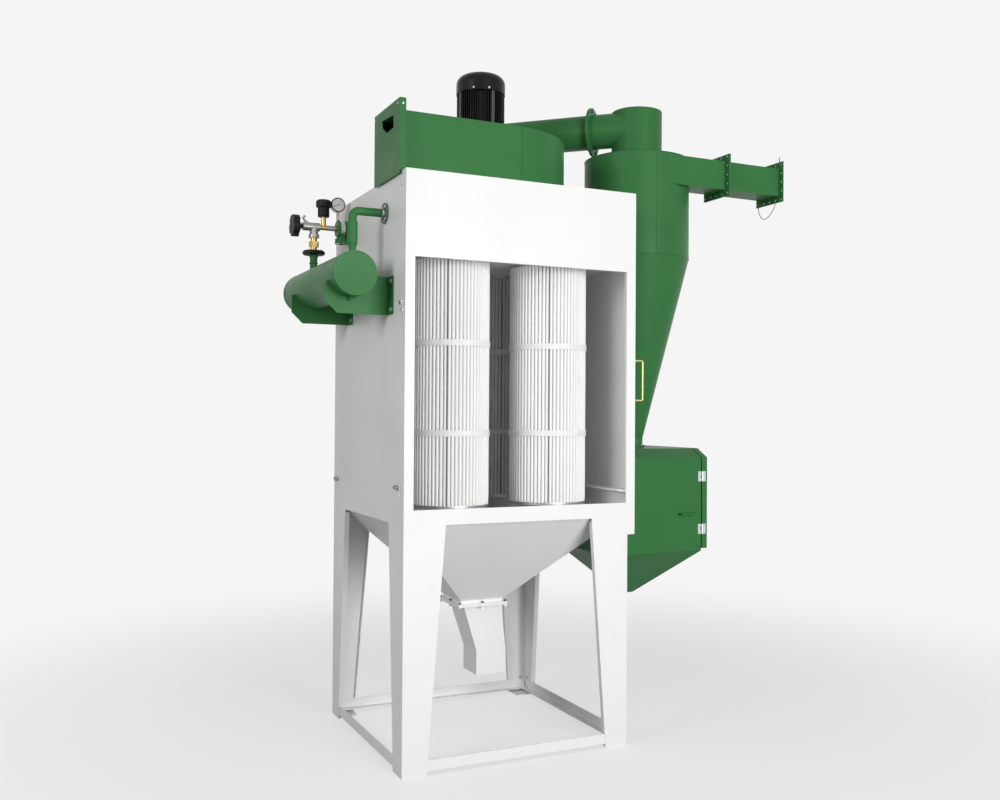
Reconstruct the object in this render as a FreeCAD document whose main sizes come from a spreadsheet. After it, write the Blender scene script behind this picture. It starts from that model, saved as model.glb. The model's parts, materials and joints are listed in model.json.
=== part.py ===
"""Pleated filter dust collector: four cartridges over a hopper, a roof fan and a pre-separator cyclone.

Millimetres, Z up. Every size stands once in the Sizes sheet. The sheet-metal pieces are drawn from
the housing's front left corner on the floor, and each Placement then carries that corner to the
middle of the whole machine.
"""

import FreeCAD
import Part
import Sketcher

import math
import os
from types import SimpleNamespace

Vector = FreeCAD.Vector
Rotation = FreeCAD.Rotation

SIZES = {
    # Sheet thicknesses
    "housing_sheet": 3.0,
    "stand_sheet": 4.0,
    "duct_sheet": 3.0,
    # Housing
    "housing_width": 1023.0,
    "housing_depth": 933.0,
    "housing_base": 1056.0,
    "housing_height": 1244.0,
    "housing_flange": 35.0,
    "corner_return": 32.0,
    "opening_left": 39.0,
    "opening_right_margin": 43.0,
    "opening_sill": 51.0,
    "opening_header": 332.0,
    "opening_return": 18.0,
    # Stand
    "rail_height": 111.0,
    "leg_foot_width": 100.0,
    "leg_top_width": 172.0,
    "lip_depth": 22.0,
    "lip_foot": 62.0,
    "lip_end_gap": 15.0,
    "foot_plate": 90.0,
    "foot_thickness": 6.0,
    "anchor_radius": 7.0,
    "anchor_inset": 52.0,
    "tie_bottom": 15.0,
    "tie_height": 42.0,
    "tie_shelf": 34.0,
    "tie_end": 12.0,
    "tie_corner_gap": 2.0,
    # Frame that carries the cyclone bin
    "mount_width": 35.0,
    "mount_height": 183.0,
    "mount_margin": 10.0,
    # Cartridges
    "chamber_height": 300.0,
    "tube_sheet_thickness": 6.0,
    "tube_hole_inset": 15.5,
    "media_depth": 58.5,
    "cartridge_sink": 10.0,
    "cap_thickness": 12.0,
    "cartridge_left_gap": 116.5,
    "cartridge_right_gap": 126.5,
    "cartridge_middle_gap": 126.0,
    "cartridge_front_gap": 76.5,
    "cartridge_back_gap": 73.5,
    "cartridge_deep_gap": 129.0,
    "pleat_count": 64.0,
    "pleat_depth": 38.0,
    "pleat_mouth_share": 0.36,
    "pleat_root_share": 0.125,
    "band_height": 25.0,
    "band_thickness": 3.0,
    "band_low_share": 0.2846,
    "band_pitch_share": 0.3572,
    # Hopper and chute
    "hopper_sheet": 3.0,
    "hopper_collar": 45.0,
    "hopper_fall": 385.0,
    "hopper_neck": 12.0,
    "outlet_shift_across": -1.0,
    "outlet_shift_deep": 3.5,
    "outlet_side": 198.0,
    "outlet_flange_reach": 15.0,
    "outlet_flange_thickness": 8.0,
    "outlet_bolt_radius": 4.5,
    "chute_flange_thickness": 6.0,
    "chute_fall": 195.0,
    "chute_spout": 104.0,
    "chute_top_left_reach": 77.0,
    "chute_top_right_reach": 95.0,
    "chute_low_left_reach": 16.0,
    "chute_low_right_reach": 123.0,
    "chute_front_reach": 80.0,
    "chute_top_back_reach": 78.0,
    "chute_low_back_reach": 60.0,
    # Fan scroll and motor
    "fan_shift_across": 1.5,
    "fan_shift_deep": 3.5,
    "scroll_height": 240.0,
    "scroll_front": 75.0,
    "scroll_step": 32.0,
    "scroll_outlet_width": 270.0,
    "scroll_overhang": 9.0,
    "scroll_inlet_radius": 150.0,
    "plate_height": 278.0,
    "plate_drop": 12.0,
    "plate_overlap": 31.0,
    "plate_return": 26.0,
    "plate_hole_front": 40.0,
    "plate_hole_low": 175.0,
    "plate_hole_width": 142.0,
    "plate_hole_height": 62.0,
    "motor_shift_across": 5.0,
    "motor_height": 232.0,
    "motor_flange_radius": 125.0,
    "motor_flange_thickness": 14.0,
    "motor_core_radius": 90.0,
    "motor_core_rise": 8.0,
    "motor_fin_reach": 15.0,
    "motor_fin_root": 2.0,
    "motor_fin_width": 2.6,
    "motor_fin_count": 60.0,
    "cowl_radius": 107.5,
    "cowl_height": 86.0,
    "cowl_shoulder_width": 46.0,
    "cowl_shoulder_height": 40.0,
    "cowl_wall": 2.5,
    # Cyclone
    "cyclone_gap": 38.5,
    "cyclone_deep": 435.0,
    "barrel_radius": 243.5,
    "barrel_height": 460.0,
    "barrel_rise": 255.0,
    "cone_outlet_radius": 34.0,
    "cone_flange_reach": 9.0,
    "cone_flange_thickness": 12.0,
    "cone_neck": 43.0,
    "head_radius": 117.5,
    "head_height": 234.0,
    # Crossover pipe from the cyclone head to the housing's back
    "pipe_radius": 80.0,
    "pipe_cover": 1.0,
    "pipe_side_margin": 1.5,
    "pipe_stub": 87.5,
    "pipe_flange_reach": 32.5,
    "pipe_flange_thickness": 6.0,
    "pipe_bend_gap": 32.0,
    "drop_stub": 15.0,
    "drop_fall": 300.0,
    # Inlet duct
    "duct_side": 131.0,
    "duct_drop": 8.0,
    "duct_inner_length": 332.0,
    "duct_outer_length": 314.0,
    "duct_flange": 30.0,
    "duct_flange_thickness": 5.0,
    "duct_bolt_radius": 4.5,
    "duct_bolt_inset": 12.0,
    # Dust bin under the cyclone
    "bin_width": 472.0,
    "bin_half_depth": 255.0,
    "bin_drop": 116.0,
    "bin_rise": 163.0,
    "bin_chamfer_depth": 72.0,
    "bin_chamfer_height": 40.0,
    "bin_tip_shift": 52.0,
    "bin_tip_side": 50.0,
    "bin_fall": 209.0,
    "door_gap": 5.0,
    "door_thickness": 28.0,
    "door_sill": 11.0,
    "hinge_low_rise": 99.0,
    "hinge_high_drop": 125.0,
    "hinge_height": 45.0,
    "hinge_leaf": 14.0,
    "hinge_leaf_thickness": 3.0,
    "hinge_knuckle": 5.5,
    "hinge_pin": 3.0,
    "hinge_bore": 3.3,
    "hinge_end_gap": 0.5,
    "hinge_clear": 1.5,
    "hinge_stand_off": 5.5,
    "grip_length": 86.0,
    "grip_end": 38.0,
    "grip_rise": 170.0,
    "grip_reach": 28.0,
    "grip_radius": 5.0,
    "grip_bend": 9.0,
    # Side handle
    "pull_front": 18.0,
    "pull_rise": 372.0,
    "pull_length": 175.0,
    "pull_reach": 52.0,
    "pull_radius": 4.0,
    "pull_bend": 7.0,
    # Compressed-air tank
    "tank_gap": 74.0,
    "tank_drop": 395.0,
    "tank_radius": 86.0,
    "tank_wall": 4.0,
    "tank_front": 110.0,
    "tank_end_gap": 14.0,
    "bracket_step": 80.0,
    "bracket_rear_step": 198.0,
    "bracket_sheet": 4.0,
    "bracket_rim": 10.0,
    "bracket_chamfer_width": 48.0,
    "bracket_chamfer_height": 47.0,
    "bracket_under": 62.0,
    "bracket_over": 2.0,
    "bracket_left_drop": 29.0,
    "bracket_foot": 58.0,
    "bracket_bolt_radius": 6.0,
    "bracket_bolt_inset": 20.0,
    # Front blow pipe
    "blow_shift": 25.0,
    "blow_step": 50.0,
    "blow_drop": 133.0,
    "blow_riser_radius": 14.7,
    "blow_radius": 16.5,
    "blow_sleeve_radius": 20.5,
    "blow_sleeve_drop": 44.0,
    "blow_sleeve_height": 83.0,
    "blow_bend": 26.0,
    "wall_flange_radius": 42.0,
    "wall_flange_thickness": 7.0,
    "wall_hub_radius": 21.0,
    "wall_hub_length": 16.0,
    # Rear valve train
    "train_shift": 4.0,
    "train_end_step": 207.0,
    "train_drop": 124.0,
    "train_riser_radius": 16.0,
    "riser_collar_height": 12.0,
    "riser_collar_reach": 2.0,
    "disc_thickness": 18.0,
    "disc_radius": 48.0,
    "disc_chamfer": 5.0,
    "union_drop": 48.0,
    "union_height": 56.0,
    "union_across_flats": 38.0,
    "stop_valve_radius": 18.0,
    "stop_valve_reach": 49.0,
    "stop_valve_back": 24.0,
    "stop_valve_neck_radius": 18.0,
    "stop_valve_collar_reach": 5.0,
    "stop_valve_collar_height": 14.0,
    "stem_radius": 6.0,
    "stem_bore": 6.5,
    "stem_length": 24.0,
    "stem_bore_depth": 30.0,
    "wheel_gap": 20.0,
    "wheel_hub_radius": 12.0,
    "wheel_hub_length": 15.0,
    "wheel_thickness": 28.0,
    "wheel_radius": 47.0,
    "wheel_scoop_radius": 14.0,
    "wheel_lobes": 5.0,
    "tee_step": 18.0,
    "tee_radius": 11.0,
    "tee_rise": 46.0,
    "switch_body_radius": 25.0,
    "switch_body_height": 40.0,
    "switch_cap_radius": 33.0,
    "switch_cap_height": 34.0,
    "switch_cap_slope": 4.0,
    "switch_chamfer": 3.0,
    "pulse_step": 77.0,
    "pulse_flange_radius": 38.0,
    "pulse_waist_radius": 31.0,
    "pulse_flange_thickness": 10.0,
    "pulse_waist_length": 30.0,
    "pulse_cover_length": 14.0,
    "pulse_chamfer": 3.0,
    "pulse_bonnet_radius": 31.0,
    "pulse_bonnet_height": 20.0,
    "pulse_bonnet_drop": 44.0,
    "pulse_neck_radius": 22.0,
    "gauge_step": 62.0,
    "gauge_rise": 104.0,
    "gauge_radius": 31.0,
    "gauge_depth": 26.0,
    "gauge_stem_radius": 5.0,
}

doc = FreeCAD.newDocument("dust_collector")
os.makedirs("parts", exist_ok=True)


class Size:
    """A number together with the expression that gives it from the sheet."""

    def __init__(self, value, text):
        self.value = float(value)
        self.text = text

    def __add__(self, other):
        other = as_size(other)
        return Size(self.value + other.value, f"({self.text} + {other.text})")

    def __sub__(self, other):
        other = as_size(other)
        return Size(self.value - other.value, f"({self.text} - {other.text})")

    def __mul__(self, other):
        other = as_size(other)
        return Size(self.value * other.value, f"({self.text} * {other.text})")

    def __truediv__(self, other):
        other = as_size(other)
        return Size(self.value / other.value, f"({self.text} / {other.text})")

    def __neg__(self):
        return Size(-self.value, f"(0 - {self.text})")


def as_size(number):
    """Turn a plain number into a Size, and leave a Size as it is."""
    if isinstance(number, Size):
        return number
    return Size(number, str(float(number)))


def make_sheet():
    """Write the sizes into the sheet and return them by name."""
    sheet = doc.addObject("Spreadsheet::Sheet", "Sizes")
    for row, (name, value) in enumerate(SIZES.items(), start=1):
        sheet.set(f"A{row}", name)
        sheet.set(f"B{row}", str(value))
        sheet.setAlias(f"B{row}", name)
    doc.recompute()
    return SimpleNamespace(**{name: Size(value, f"Sizes.{name}") for name, value in SIZES.items()})


def smaller(one, other):
    """The smaller of two sizes."""
    return Size(min(one.value, other.value), f"min({one.text}; {other.text})")


def relate_housing():
    """Levels and edges of the housing and its stand."""
    s.housing_top = s.housing_base + s.housing_height
    s.stand_width = s.housing_width - s.mount_width
    s.opening_right = s.housing_width - s.opening_right_margin
    s.opening_bottom = s.housing_base - s.opening_sill
    s.opening_top = s.housing_top - s.opening_header
    s.band_bottom = s.housing_base - s.rail_height
    s.lip_top = s.band_bottom - s.lip_end_gap
    s.mount_bottom = s.housing_base - s.mount_height
    s.bin_front = s.cyclone_deep - s.bin_half_depth
    s.bin_back = s.cyclone_deep + s.bin_half_depth
    s.mount_depth = s.bin_back + s.mount_margin


def relate_cartridges():
    """The cartridges fill a quarter of the chamber each, less the gaps round them."""
    gaps_across = s.cartridge_left_gap + s.cartridge_middle_gap + s.cartridge_right_gap
    gaps_deep = s.cartridge_front_gap + s.cartridge_deep_gap + s.cartridge_back_gap
    quarter_across = (s.housing_width - gaps_across) / 4
    quarter_deep = (s.housing_depth - gaps_deep) / 4
    s.cartridge_radius = smaller(quarter_across, quarter_deep)
    s.cartridge_left = s.cartridge_left_gap + quarter_across
    s.cartridge_front = s.cartridge_front_gap + quarter_deep
    s.cartridge_pitch_across = quarter_across * 2 + s.cartridge_middle_gap
    s.cartridge_pitch_deep = quarter_deep * 2 + s.cartridge_deep_gap
    s.cartridge_bore = s.cartridge_radius - s.media_depth
    s.cartridge_bottom = s.opening_bottom - s.cartridge_sink
    s.tube_sheet_level = s.housing_top - s.chamber_height
    s.tube_hole_radius = s.cartridge_radius - s.tube_hole_inset
    length = s.tube_sheet_level - s.cartridge_bottom
    s.lower_band = s.cartridge_bottom + length * s.band_low_share
    s.band_pitch = length * s.band_pitch_share
    pleat_pitch = s.cartridge_radius * 6.2832 / s.pleat_count
    s.pleat_mouth = pleat_pitch * s.pleat_mouth_share
    s.pleat_root = pleat_pitch * s.pleat_root_share


def relate_hopper():
    """Levels of the hopper and edges of the chute round its outlet."""
    s.hopper_break = s.opening_bottom - s.hopper_collar
    s.outlet_level = s.hopper_break - s.hopper_fall
    s.neck_level = s.outlet_level - s.hopper_neck
    s.outlet_across = s.stand_width / 2 + s.outlet_shift_across
    s.outlet_deep = s.housing_depth / 2 + s.outlet_shift_deep
    s.outlet_flange_side = s.outlet_side + s.outlet_flange_reach * 2
    s.chute_top_left = s.outlet_across - s.chute_top_left_reach
    s.chute_top_right = s.outlet_across + s.chute_top_right_reach
    s.chute_low_left = s.outlet_across - s.chute_low_left_reach
    s.chute_low_right = s.outlet_across + s.chute_low_right_reach
    s.chute_front = s.outlet_deep - s.chute_front_reach
    s.chute_top_back = s.outlet_deep + s.chute_top_back_reach
    s.chute_low_back = s.outlet_deep + s.chute_low_back_reach
    s.chute_break = s.neck_level - s.outlet_flange_thickness - s.chute_flange_thickness - s.chute_fall
    s.chute_end = s.chute_break - s.chute_spout


def relate_fan():
    """The fan's axis and the motor's levels on the roof."""
    s.fan_across = s.housing_width / 2 - s.fan_shift_across
    s.fan_deep = s.housing_depth / 2 + s.fan_shift_deep
    s.motor_across = s.fan_across + s.motor_shift_across
    s.scroll_outlet_end = -s.scroll_overhang
    s.motor_fin_radius = s.motor_core_radius + s.motor_fin_reach
    s.motor_fin_end = s.housing_top + s.scroll_height + s.motor_height
    s.motor_core_end = s.motor_fin_end + s.motor_core_rise
    s.cowl_bottom = s.motor_fin_end
    s.cowl_top = s.cowl_bottom + s.cowl_height


def relate_cyclone():
    """The cyclone beside the housing, its bin, the inlet duct and the crossover pipe."""
    s.bin_right = s.housing_width + s.bin_width
    s.bin_bottom = s.mount_bottom - s.bin_drop
    s.bin_top = s.housing_base + s.bin_rise
    s.bin_tip_level = s.bin_bottom - s.bin_fall
    s.door_bottom = s.bin_bottom + s.door_sill
    s.hinge_low = s.bin_bottom + s.hinge_low_rise
    s.hinge_high = s.bin_top - s.hinge_high_drop
    s.grip_right = s.bin_right - s.grip_end
    s.grip_left = s.grip_right - s.grip_length
    s.grip_level = s.bin_bottom + s.grip_rise
    s.cyclone_across = s.housing_width + s.cyclone_gap + s.barrel_radius
    s.bin_tip_across = s.cyclone_across - s.bin_tip_shift
    s.bin_tip_deep = s.cyclone_deep
    s.barrel_top = s.housing_top + s.barrel_rise
    s.barrel_bottom = s.barrel_top - s.barrel_height
    s.cone_bottom = s.bin_top + s.cone_neck
    s.cone_flange_radius = s.cone_outlet_radius + s.cone_flange_reach
    s.head_top = s.barrel_top + s.head_height
    s.pipe_level = s.head_top - s.pipe_radius - s.pipe_cover
    s.pipe_joint = s.head_radius + s.pipe_stub
    s.pipe_flange_radius = s.pipe_radius + s.pipe_flange_reach
    s.pipe_bend = s.pipe_radius + s.pipe_bend_gap
    s.drop_deep = s.housing_depth + s.pipe_bend + s.drop_stub
    s.drop_entry = s.tube_sheet_level - s.drop_fall
    s.pipe_shift = (s.head_radius - s.pipe_radius - s.pipe_side_margin) / 1.41421356
    s.pipe_start_across = s.cyclone_across - s.pipe_shift
    s.pipe_start_deep = s.cyclone_deep - s.pipe_shift
    s.drop_across = s.pipe_start_across - (s.drop_deep - s.pipe_start_deep)
    s.pipe_reach = (s.drop_deep - s.pipe_start_deep) * 1.41421356
    s.duct_top = s.barrel_top - s.duct_drop
    s.duct_joint = s.cyclone_across + s.duct_inner_length
    s.duct_end = s.duct_joint + s.duct_outer_length


def relate_air_side():
    """The tank on the left wall, its brackets, the blow pipe and the valve train."""
    s.tank_across = -s.tank_radius - s.tank_gap
    s.tank_level = s.housing_top - s.tank_drop
    s.tank_length = s.housing_depth - s.tank_front - s.tank_end_gap
    s.bracket_front = s.tank_front + s.bracket_step
    s.bracket_rear = s.tank_front + s.tank_length - s.bracket_rear_step
    s.bracket_left = s.tank_across - s.tank_radius - s.bracket_rim
    s.bracket_chamfer_right = s.bracket_left + s.bracket_chamfer_width
    s.bracket_bottom = s.tank_level - s.tank_radius - s.bracket_under
    s.bracket_chamfer_top = s.bracket_bottom + s.bracket_chamfer_height
    s.bracket_left_top = s.tank_level - s.bracket_left_drop
    s.bracket_top = s.tank_level + s.bracket_over
    s.blow_across = s.tank_across + s.blow_shift
    s.blow_deep = s.bracket_front + s.blow_step
    s.blow_level = s.housing_top - s.blow_drop
    s.blow_sleeve_top = s.blow_level - s.blow_sleeve_drop
    s.blow_sleeve_bottom = s.blow_sleeve_top - s.blow_sleeve_height
    s.train_across = s.tank_across - s.train_shift
    s.train_deep = s.tank_front + s.tank_length - s.train_end_step
    s.train_level = s.housing_top - s.train_drop
    s.union_top = s.train_level - s.union_drop
    s.disc_top = s.union_top - s.union_height
    s.disc_bottom = s.disc_top - s.disc_thickness
    s.stop_valve_left = s.train_across - s.stop_valve_reach
    s.stop_valve_right = s.train_across + s.stop_valve_back
    s.wheel_right = s.stop_valve_left - s.wheel_gap
    s.wheel_left = s.wheel_right - s.wheel_thickness
    s.tee_across = s.stop_valve_right + s.tee_step
    s.tee_top = s.train_level + s.tee_rise
    s.pulse_left = s.stop_valve_right + s.pulse_step
    s.tee_right = s.pulse_left
    s.gauge_across = s.tee_across + s.gauge_step
    s.gauge_level = s.train_level + s.gauge_rise


def relate_datum():
    """Where the housing's front left corner lies from the middle of the whole machine."""
    s.datum_left = (s.duct_end + s.wheel_left) / -2
    s.datum_front = (s.drop_deep + s.pipe_flange_radius) / -2


s = make_sheet()
relate_housing()
relate_cartridges()
relate_hopper()
relate_fan()
relate_cyclone()
relate_air_side()
relate_datum()
ZERO = as_size(0)
COWL_STEPS = 6
ROLES = {"X": "YZ_Plane", "Y": "XZ_Plane", "Z": "XY_Plane"}
ABOUT_X = Rotation(Vector(1, 0, 0), -90)
ABOUT_Y = Rotation(Vector(0, 1, 0), 90)
SLANT = Rotation(Vector(1, 1, 0), -90)
UPRIGHT = Rotation(Vector(1, 0, 0), 90)
TO_FRONT_RIGHT = Rotation(Vector(0, 0, 1), -90)
TO_FRONT_LEFT = Rotation(Vector(0, 0, 1), 180)
TO_RIGHT_UP = UPRIGHT
TO_LEFT_UP = UPRIGHT.multiply(Rotation(Vector(0, 0, 1), 90))
TO_RIGHT_DOWN = UPRIGHT.multiply(Rotation(Vector(0, 0, 1), -90))
pieces = []
cuts = []


def bind(item, name, size):
    """Tie a length of a feature to the sheet."""
    setattr(item, name, as_size(size).value)
    item.setExpression(name, as_size(size).text)


def bind_count(item, name, size):
    """Tie a whole number of a feature to the sheet."""
    setattr(item, name, int(size.value))
    item.setExpression(name, size.text)


def place(item, across=0, deep=0, level=0, rotation=None):
    """Put an item at a point of the drawing frame."""
    point = [as_size(across), as_size(deep), as_size(level)]
    item.Placement = FreeCAD.Placement(Vector(*[size.value for size in point]), rotation or Rotation())
    for letter, size in zip("xyz", point):
        item.setExpression(f".Placement.Base.{letter}", size.text)


def finish(item, label, across=0, deep=0, level=0, rotation=None):
    """Name a finished piece, put it in the machine's frame and list it for export."""
    item.Label = label
    place(item, s.datum_left + across, s.datum_front + deep, level, rotation)
    pieces.append(item)
    return item


def new_body(name):
    """Start a body."""
    body = doc.addObject("PartDesign::Body", name)
    body.AllowCompound = True
    return body


def new_sketch(body, axis, offset):
    """Add a sketch square to an axis, at an offset along it."""
    sketch = body.newObject("Sketcher::SketchObject", f"{body.Name}_sketch")
    plane = next(item for item in body.Origin.OriginFeatures if item.Role == ROLES[axis])
    sketch.AttachmentSupport = [(plane, "")]
    sketch.MapMode = "FlatFace"
    along = -as_size(offset) if axis == "Y" else as_size(offset)
    sketch.AttachmentOffset = FreeCAD.Placement(Vector(0, 0, along.value), Rotation())
    sketch.setExpression(".AttachmentOffset.Base.z", along.text)
    return sketch


def pin_point(sketch, geometry, position, point):
    """Hold one point of a sketch at a distance from its origin."""
    for kind, size in zip(("DistanceX", "DistanceY"), point):
        hold(sketch, distance(kind, geometry, position, size), size)


def distance(kind, geometry, position, size):
    """A distance from the sketch's origin to a point."""
    return Sketcher.Constraint(kind, -1, 1, geometry, position, as_size(size).value)


def hold(sketch, constraint, size):
    """Add a constraint and tie its value to the sheet."""
    index = sketch.addConstraint(constraint)
    sketch.setExpression(f"Constraints[{index}]", as_size(size).text)


def flat(point):
    """A sketch point as a vector."""
    return Vector(as_size(point[0]).value, as_size(point[1]).value, 0)


def polygon(points):
    """A closed outline of straight lines."""

    def draw(sketch):
        first = sketch.GeometryCount
        ends = points[1:] + points[:1]
        for start, end in zip(points, ends):
            sketch.addGeometry(Part.LineSegment(flat(start), flat(end)), False)
        for number in range(len(points)):
            after = first + (number + 1) % len(points)
            sketch.addConstraint(Sketcher.Constraint("Coincident", first + number, 2, after, 1))
        for number, point in enumerate(points):
            pin_point(sketch, first + number, 1, point)

    return draw


def rectangle(left, low, right, high):
    """A closed rectangle."""
    return polygon([(left, low), (right, low), (right, high), (left, high)])


def circle(across, high, radius):
    """A circle."""

    def draw(sketch):
        ring = Part.Circle(flat((across, high)), Vector(0, 0, 1), as_size(radius).value)
        index = sketch.addGeometry(ring, False)
        pin_point(sketch, index, 3, (across, high))
        hold(sketch, Sketcher.Constraint("Radius", index, as_size(radius).value), radius)

    return draw


def pad(body, axis, start, length, *outlines):
    """Extrude outlines along an axis from a level."""
    sketch = new_sketch(body, axis, start)
    for outline in outlines:
        outline(sketch)
    feature = body.newObject("PartDesign::Pad", f"{body.Name}_pad")
    feature.Profile = sketch
    feature.Reversed = axis == "Y"
    bind(feature, "Length", length)
    body.Tip = feature
    return feature


def cut(body, axis, start, length, *outlines):
    """Cut outlines out of a body along an axis from a level."""
    sketch = new_sketch(body, axis, start)
    for outline in outlines:
        outline(sketch)
    feature = body.newObject("PartDesign::Pocket", f"{body.Name}_pocket")
    feature.Profile = sketch
    feature.Reversed = axis != "Y"
    bind(feature, "Length", length)
    body.Tip = feature
    cuts.append(feature)
    return feature


def loft(body, kind, low, low_outline, high, high_outline):
    """Blend one level outline into another, adding or cutting."""
    first = new_sketch(body, "Z", low)
    low_outline(first)
    second = new_sketch(body, "Z", high)
    high_outline(second)
    feature = body.newObject(f"PartDesign::{kind}Loft", f"{body.Name}_loft")
    feature.Profile = first
    feature.Sections = [second]
    feature.Ruled = True
    body.Tip = feature
    if kind == "Subtractive":
        cuts.append(feature)
    return feature


def turned(body, points, angle=360):
    """Revolve an outline of radius and height about the body's own Z axis."""
    sketch = new_sketch(body, "Y", 0)
    polygon(points)(sketch)
    feature = body.newObject("PartDesign::Revolution", f"{body.Name}_turn")
    feature.Profile = sketch
    feature.ReferenceAxis = (sketch, ["V_Axis"])
    feature.Angle = angle
    body.Tip = feature
    return feature


def quarter_bend(name, bend, outer, inner):
    """A hollow quarter bend about its own Z axis, from X round to Y."""
    body = new_body(name)
    sketch = new_sketch(body, "Y", 0)
    circle(bend, 0, outer)(sketch)
    circle(bend, 0, inner)(sketch)
    feature = body.newObject("PartDesign::Revolution", f"{name}_turn")
    feature.Profile = sketch
    feature.ReferenceAxis = (sketch, ["V_Axis"])
    feature.Angle = 90
    body.Tip = feature
    return body


def around(body, feature, count):
    """Repeat a feature round the body's own Z axis."""
    pattern = body.newObject("PartDesign::PolarPattern", f"{body.Name}_pattern")
    pattern.Originals = [feature]
    pattern.Axis = (feature.Profile[0], ["N_Axis"])
    pattern.Angle = 360
    bind_count(pattern, "Occurrences", count)
    body.Tip = pattern
    return pattern


def mirrored(source, name, axis, middle):
    """A mirrored copy of a placed piece across a plane of the machine."""
    copy = doc.addObject("Part::Mirroring", name)
    copy.Source = source
    copy.Normal = Vector(1, 0, 0) if axis == "X" else Vector(0, 1, 0)
    point = Vector(middle.value, 0, 0) if axis == "X" else Vector(0, middle.value, 0)
    copy.Base = point
    copy.setExpression("Base.x" if axis == "X" else "Base.y", middle.text)
    return copy


def seat(item, across=0, deep=0, level=0, rotation=None):
    """Put an item straight into the machine's frame, for grouping or mirroring."""
    place(item, s.datum_left + across, s.datum_front + deep, level, rotation)
    return item


def listed(item, label):
    """Name an item that already stands in the machine's frame and list it for export."""
    item.Label = label
    pieces.append(item)
    return item


def grouped(label, items):
    """Like pieces that stay apart, kept together as one piece for export."""
    group = doc.addObject("Part::Compound", label)
    group.Links = items
    return listed(group, label)


def rod(name, radius, length, across, deep, level, rotation=None):
    """A plain round bar for joining with others."""
    bar = doc.addObject("Part::Cylinder", name)
    bind(bar, "Radius", radius)
    bind(bar, "Height", length)
    place(bar, across, deep, level, rotation)
    return bar


def elbow(name, bend, radius, across, deep, level, rotation):
    """A quarter bend of plain round bar."""
    ring = doc.addObject("Part::Torus", name)
    bind(ring, "Radius1", bend)
    bind(ring, "Radius2", radius)
    ring.Angle3 = 90
    place(ring, across, deep, level, rotation)
    return ring


def joined(name, items):
    """One solid from several touching ones."""
    fuse = doc.addObject("Part::MultiFuse", name)
    fuse.Shapes = items
    return fuse


def less(name, base, tool):
    """One solid with another taken out."""
    result = doc.addObject("Part::Cut", name)
    result.Base = base
    result.Tool = tool
    return result


def build_legs():
    """Four tapered legs of folded sheet, each with a lip along its slanted edges and a foot plate."""
    sheet = s.stand_sheet
    slope = (s.leg_top_width - s.leg_foot_width) / s.band_bottom
    low = s.leg_foot_width + slope * s.lip_foot
    high = s.leg_foot_width + slope * s.lip_top
    blade = polygon([(0, 0), (s.leg_foot_width, 0), (s.leg_top_width, s.band_bottom), (0, s.band_bottom)])
    lip = polygon([
        (low - sheet, s.lip_foot), (low, s.lip_foot), (high, s.lip_top), (high - sheet, s.lip_top),
    ])
    leg = new_body("leg_front_left")
    for axis in ("Y", "X"):
        pad(leg, axis, 0, sheet, blade)
        pad(leg, axis, 0, s.lip_depth, lip)
    plate = rectangle(0, 0, s.foot_plate, s.foot_plate)
    pad(leg, "Z", 0, s.foot_thickness, plate)
    cut(leg, "Z", 0, s.foot_thickness, circle(s.anchor_inset, s.anchor_inset, s.anchor_radius))
    finish(leg, "leg_front_left")
    across = s.datum_left + s.stand_width / 2
    deep = s.datum_front + s.housing_depth / 2
    listed(mirrored(leg, "leg_front_right", "X", across), "leg_front_right")
    back = listed(mirrored(leg, "leg_back_left", "Y", deep), "leg_back_left")
    listed(mirrored(back, "leg_back_right", "X", across), "leg_back_right")


def build_stand_rails():
    """The band round the stand's top and the ties between its feet."""
    sheet = s.stand_sheet
    width = s.stand_width
    depth = s.housing_depth
    front = new_body("stand_front_rail")
    outline = polygon([
        (0, s.band_bottom), (width, s.band_bottom), (width, s.housing_base),
        (s.opening_right, s.housing_base), (s.opening_right, s.opening_bottom),
        (s.opening_left, s.opening_bottom), (s.opening_left, s.housing_base), (0, s.housing_base),
    ])
    pad(front, "Y", 0, sheet, outline)
    finish(front, "stand_front_rail")

    back = new_body("stand_back_rail")
    outline = polygon([
        (depth, s.band_bottom), (depth, s.housing_base), (depth - s.housing_flange, s.housing_base),
        (depth - s.housing_flange, s.housing_base - sheet), (depth - sheet, s.housing_base - sheet),
        (depth - sheet, s.band_bottom),
    ])
    pad(back, "X", s.housing_flange, width - s.housing_flange * 2, outline)
    ends = rectangle(depth - sheet, s.band_bottom, depth, s.housing_base)
    pad(back, "X", 0, width, ends)
    finish(back, "stand_back_rail")

    left = new_body("stand_left_rail")
    outline = polygon([
        (0, s.band_bottom), (sheet, s.band_bottom), (sheet, s.housing_base - sheet),
        (s.housing_flange, s.housing_base - sheet), (s.housing_flange, s.housing_base), (0, s.housing_base),
    ])
    pad(left, "Y", sheet, depth - sheet * 2, outline)
    middle = s.datum_left + width / 2
    grouped("stand_side_rails", [seat(left), mirrored(left, "stand_right_rail", "X", middle)])

    shelf = sheet + s.tie_shelf
    profile = [(sheet, s.tie_bottom), (shelf, s.tie_bottom), (shelf, s.tie_bottom + sheet)]
    profile += [(sheet * 2, s.tie_bottom + sheet), (sheet * 2, s.tie_bottom + s.tie_height)]
    profile += [(sheet, s.tie_bottom + s.tie_height)]
    tie = new_body("stand_front_tie")
    pad(tie, "X", s.tie_end, width - s.tie_end * 2, polygon(profile))
    back_tie = mirrored(tie, "stand_back_tie", "Y", s.datum_front + depth / 2)
    grouped("stand_cross_ties", [seat(tie), back_tie])
    side = new_body("stand_left_tie")
    near = shelf + s.tie_corner_gap
    pad(side, "Y", near, depth - near * 2, polygon(profile))
    grouped("stand_side_ties", [seat(side), mirrored(side, "stand_right_tie", "X", middle)])


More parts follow.
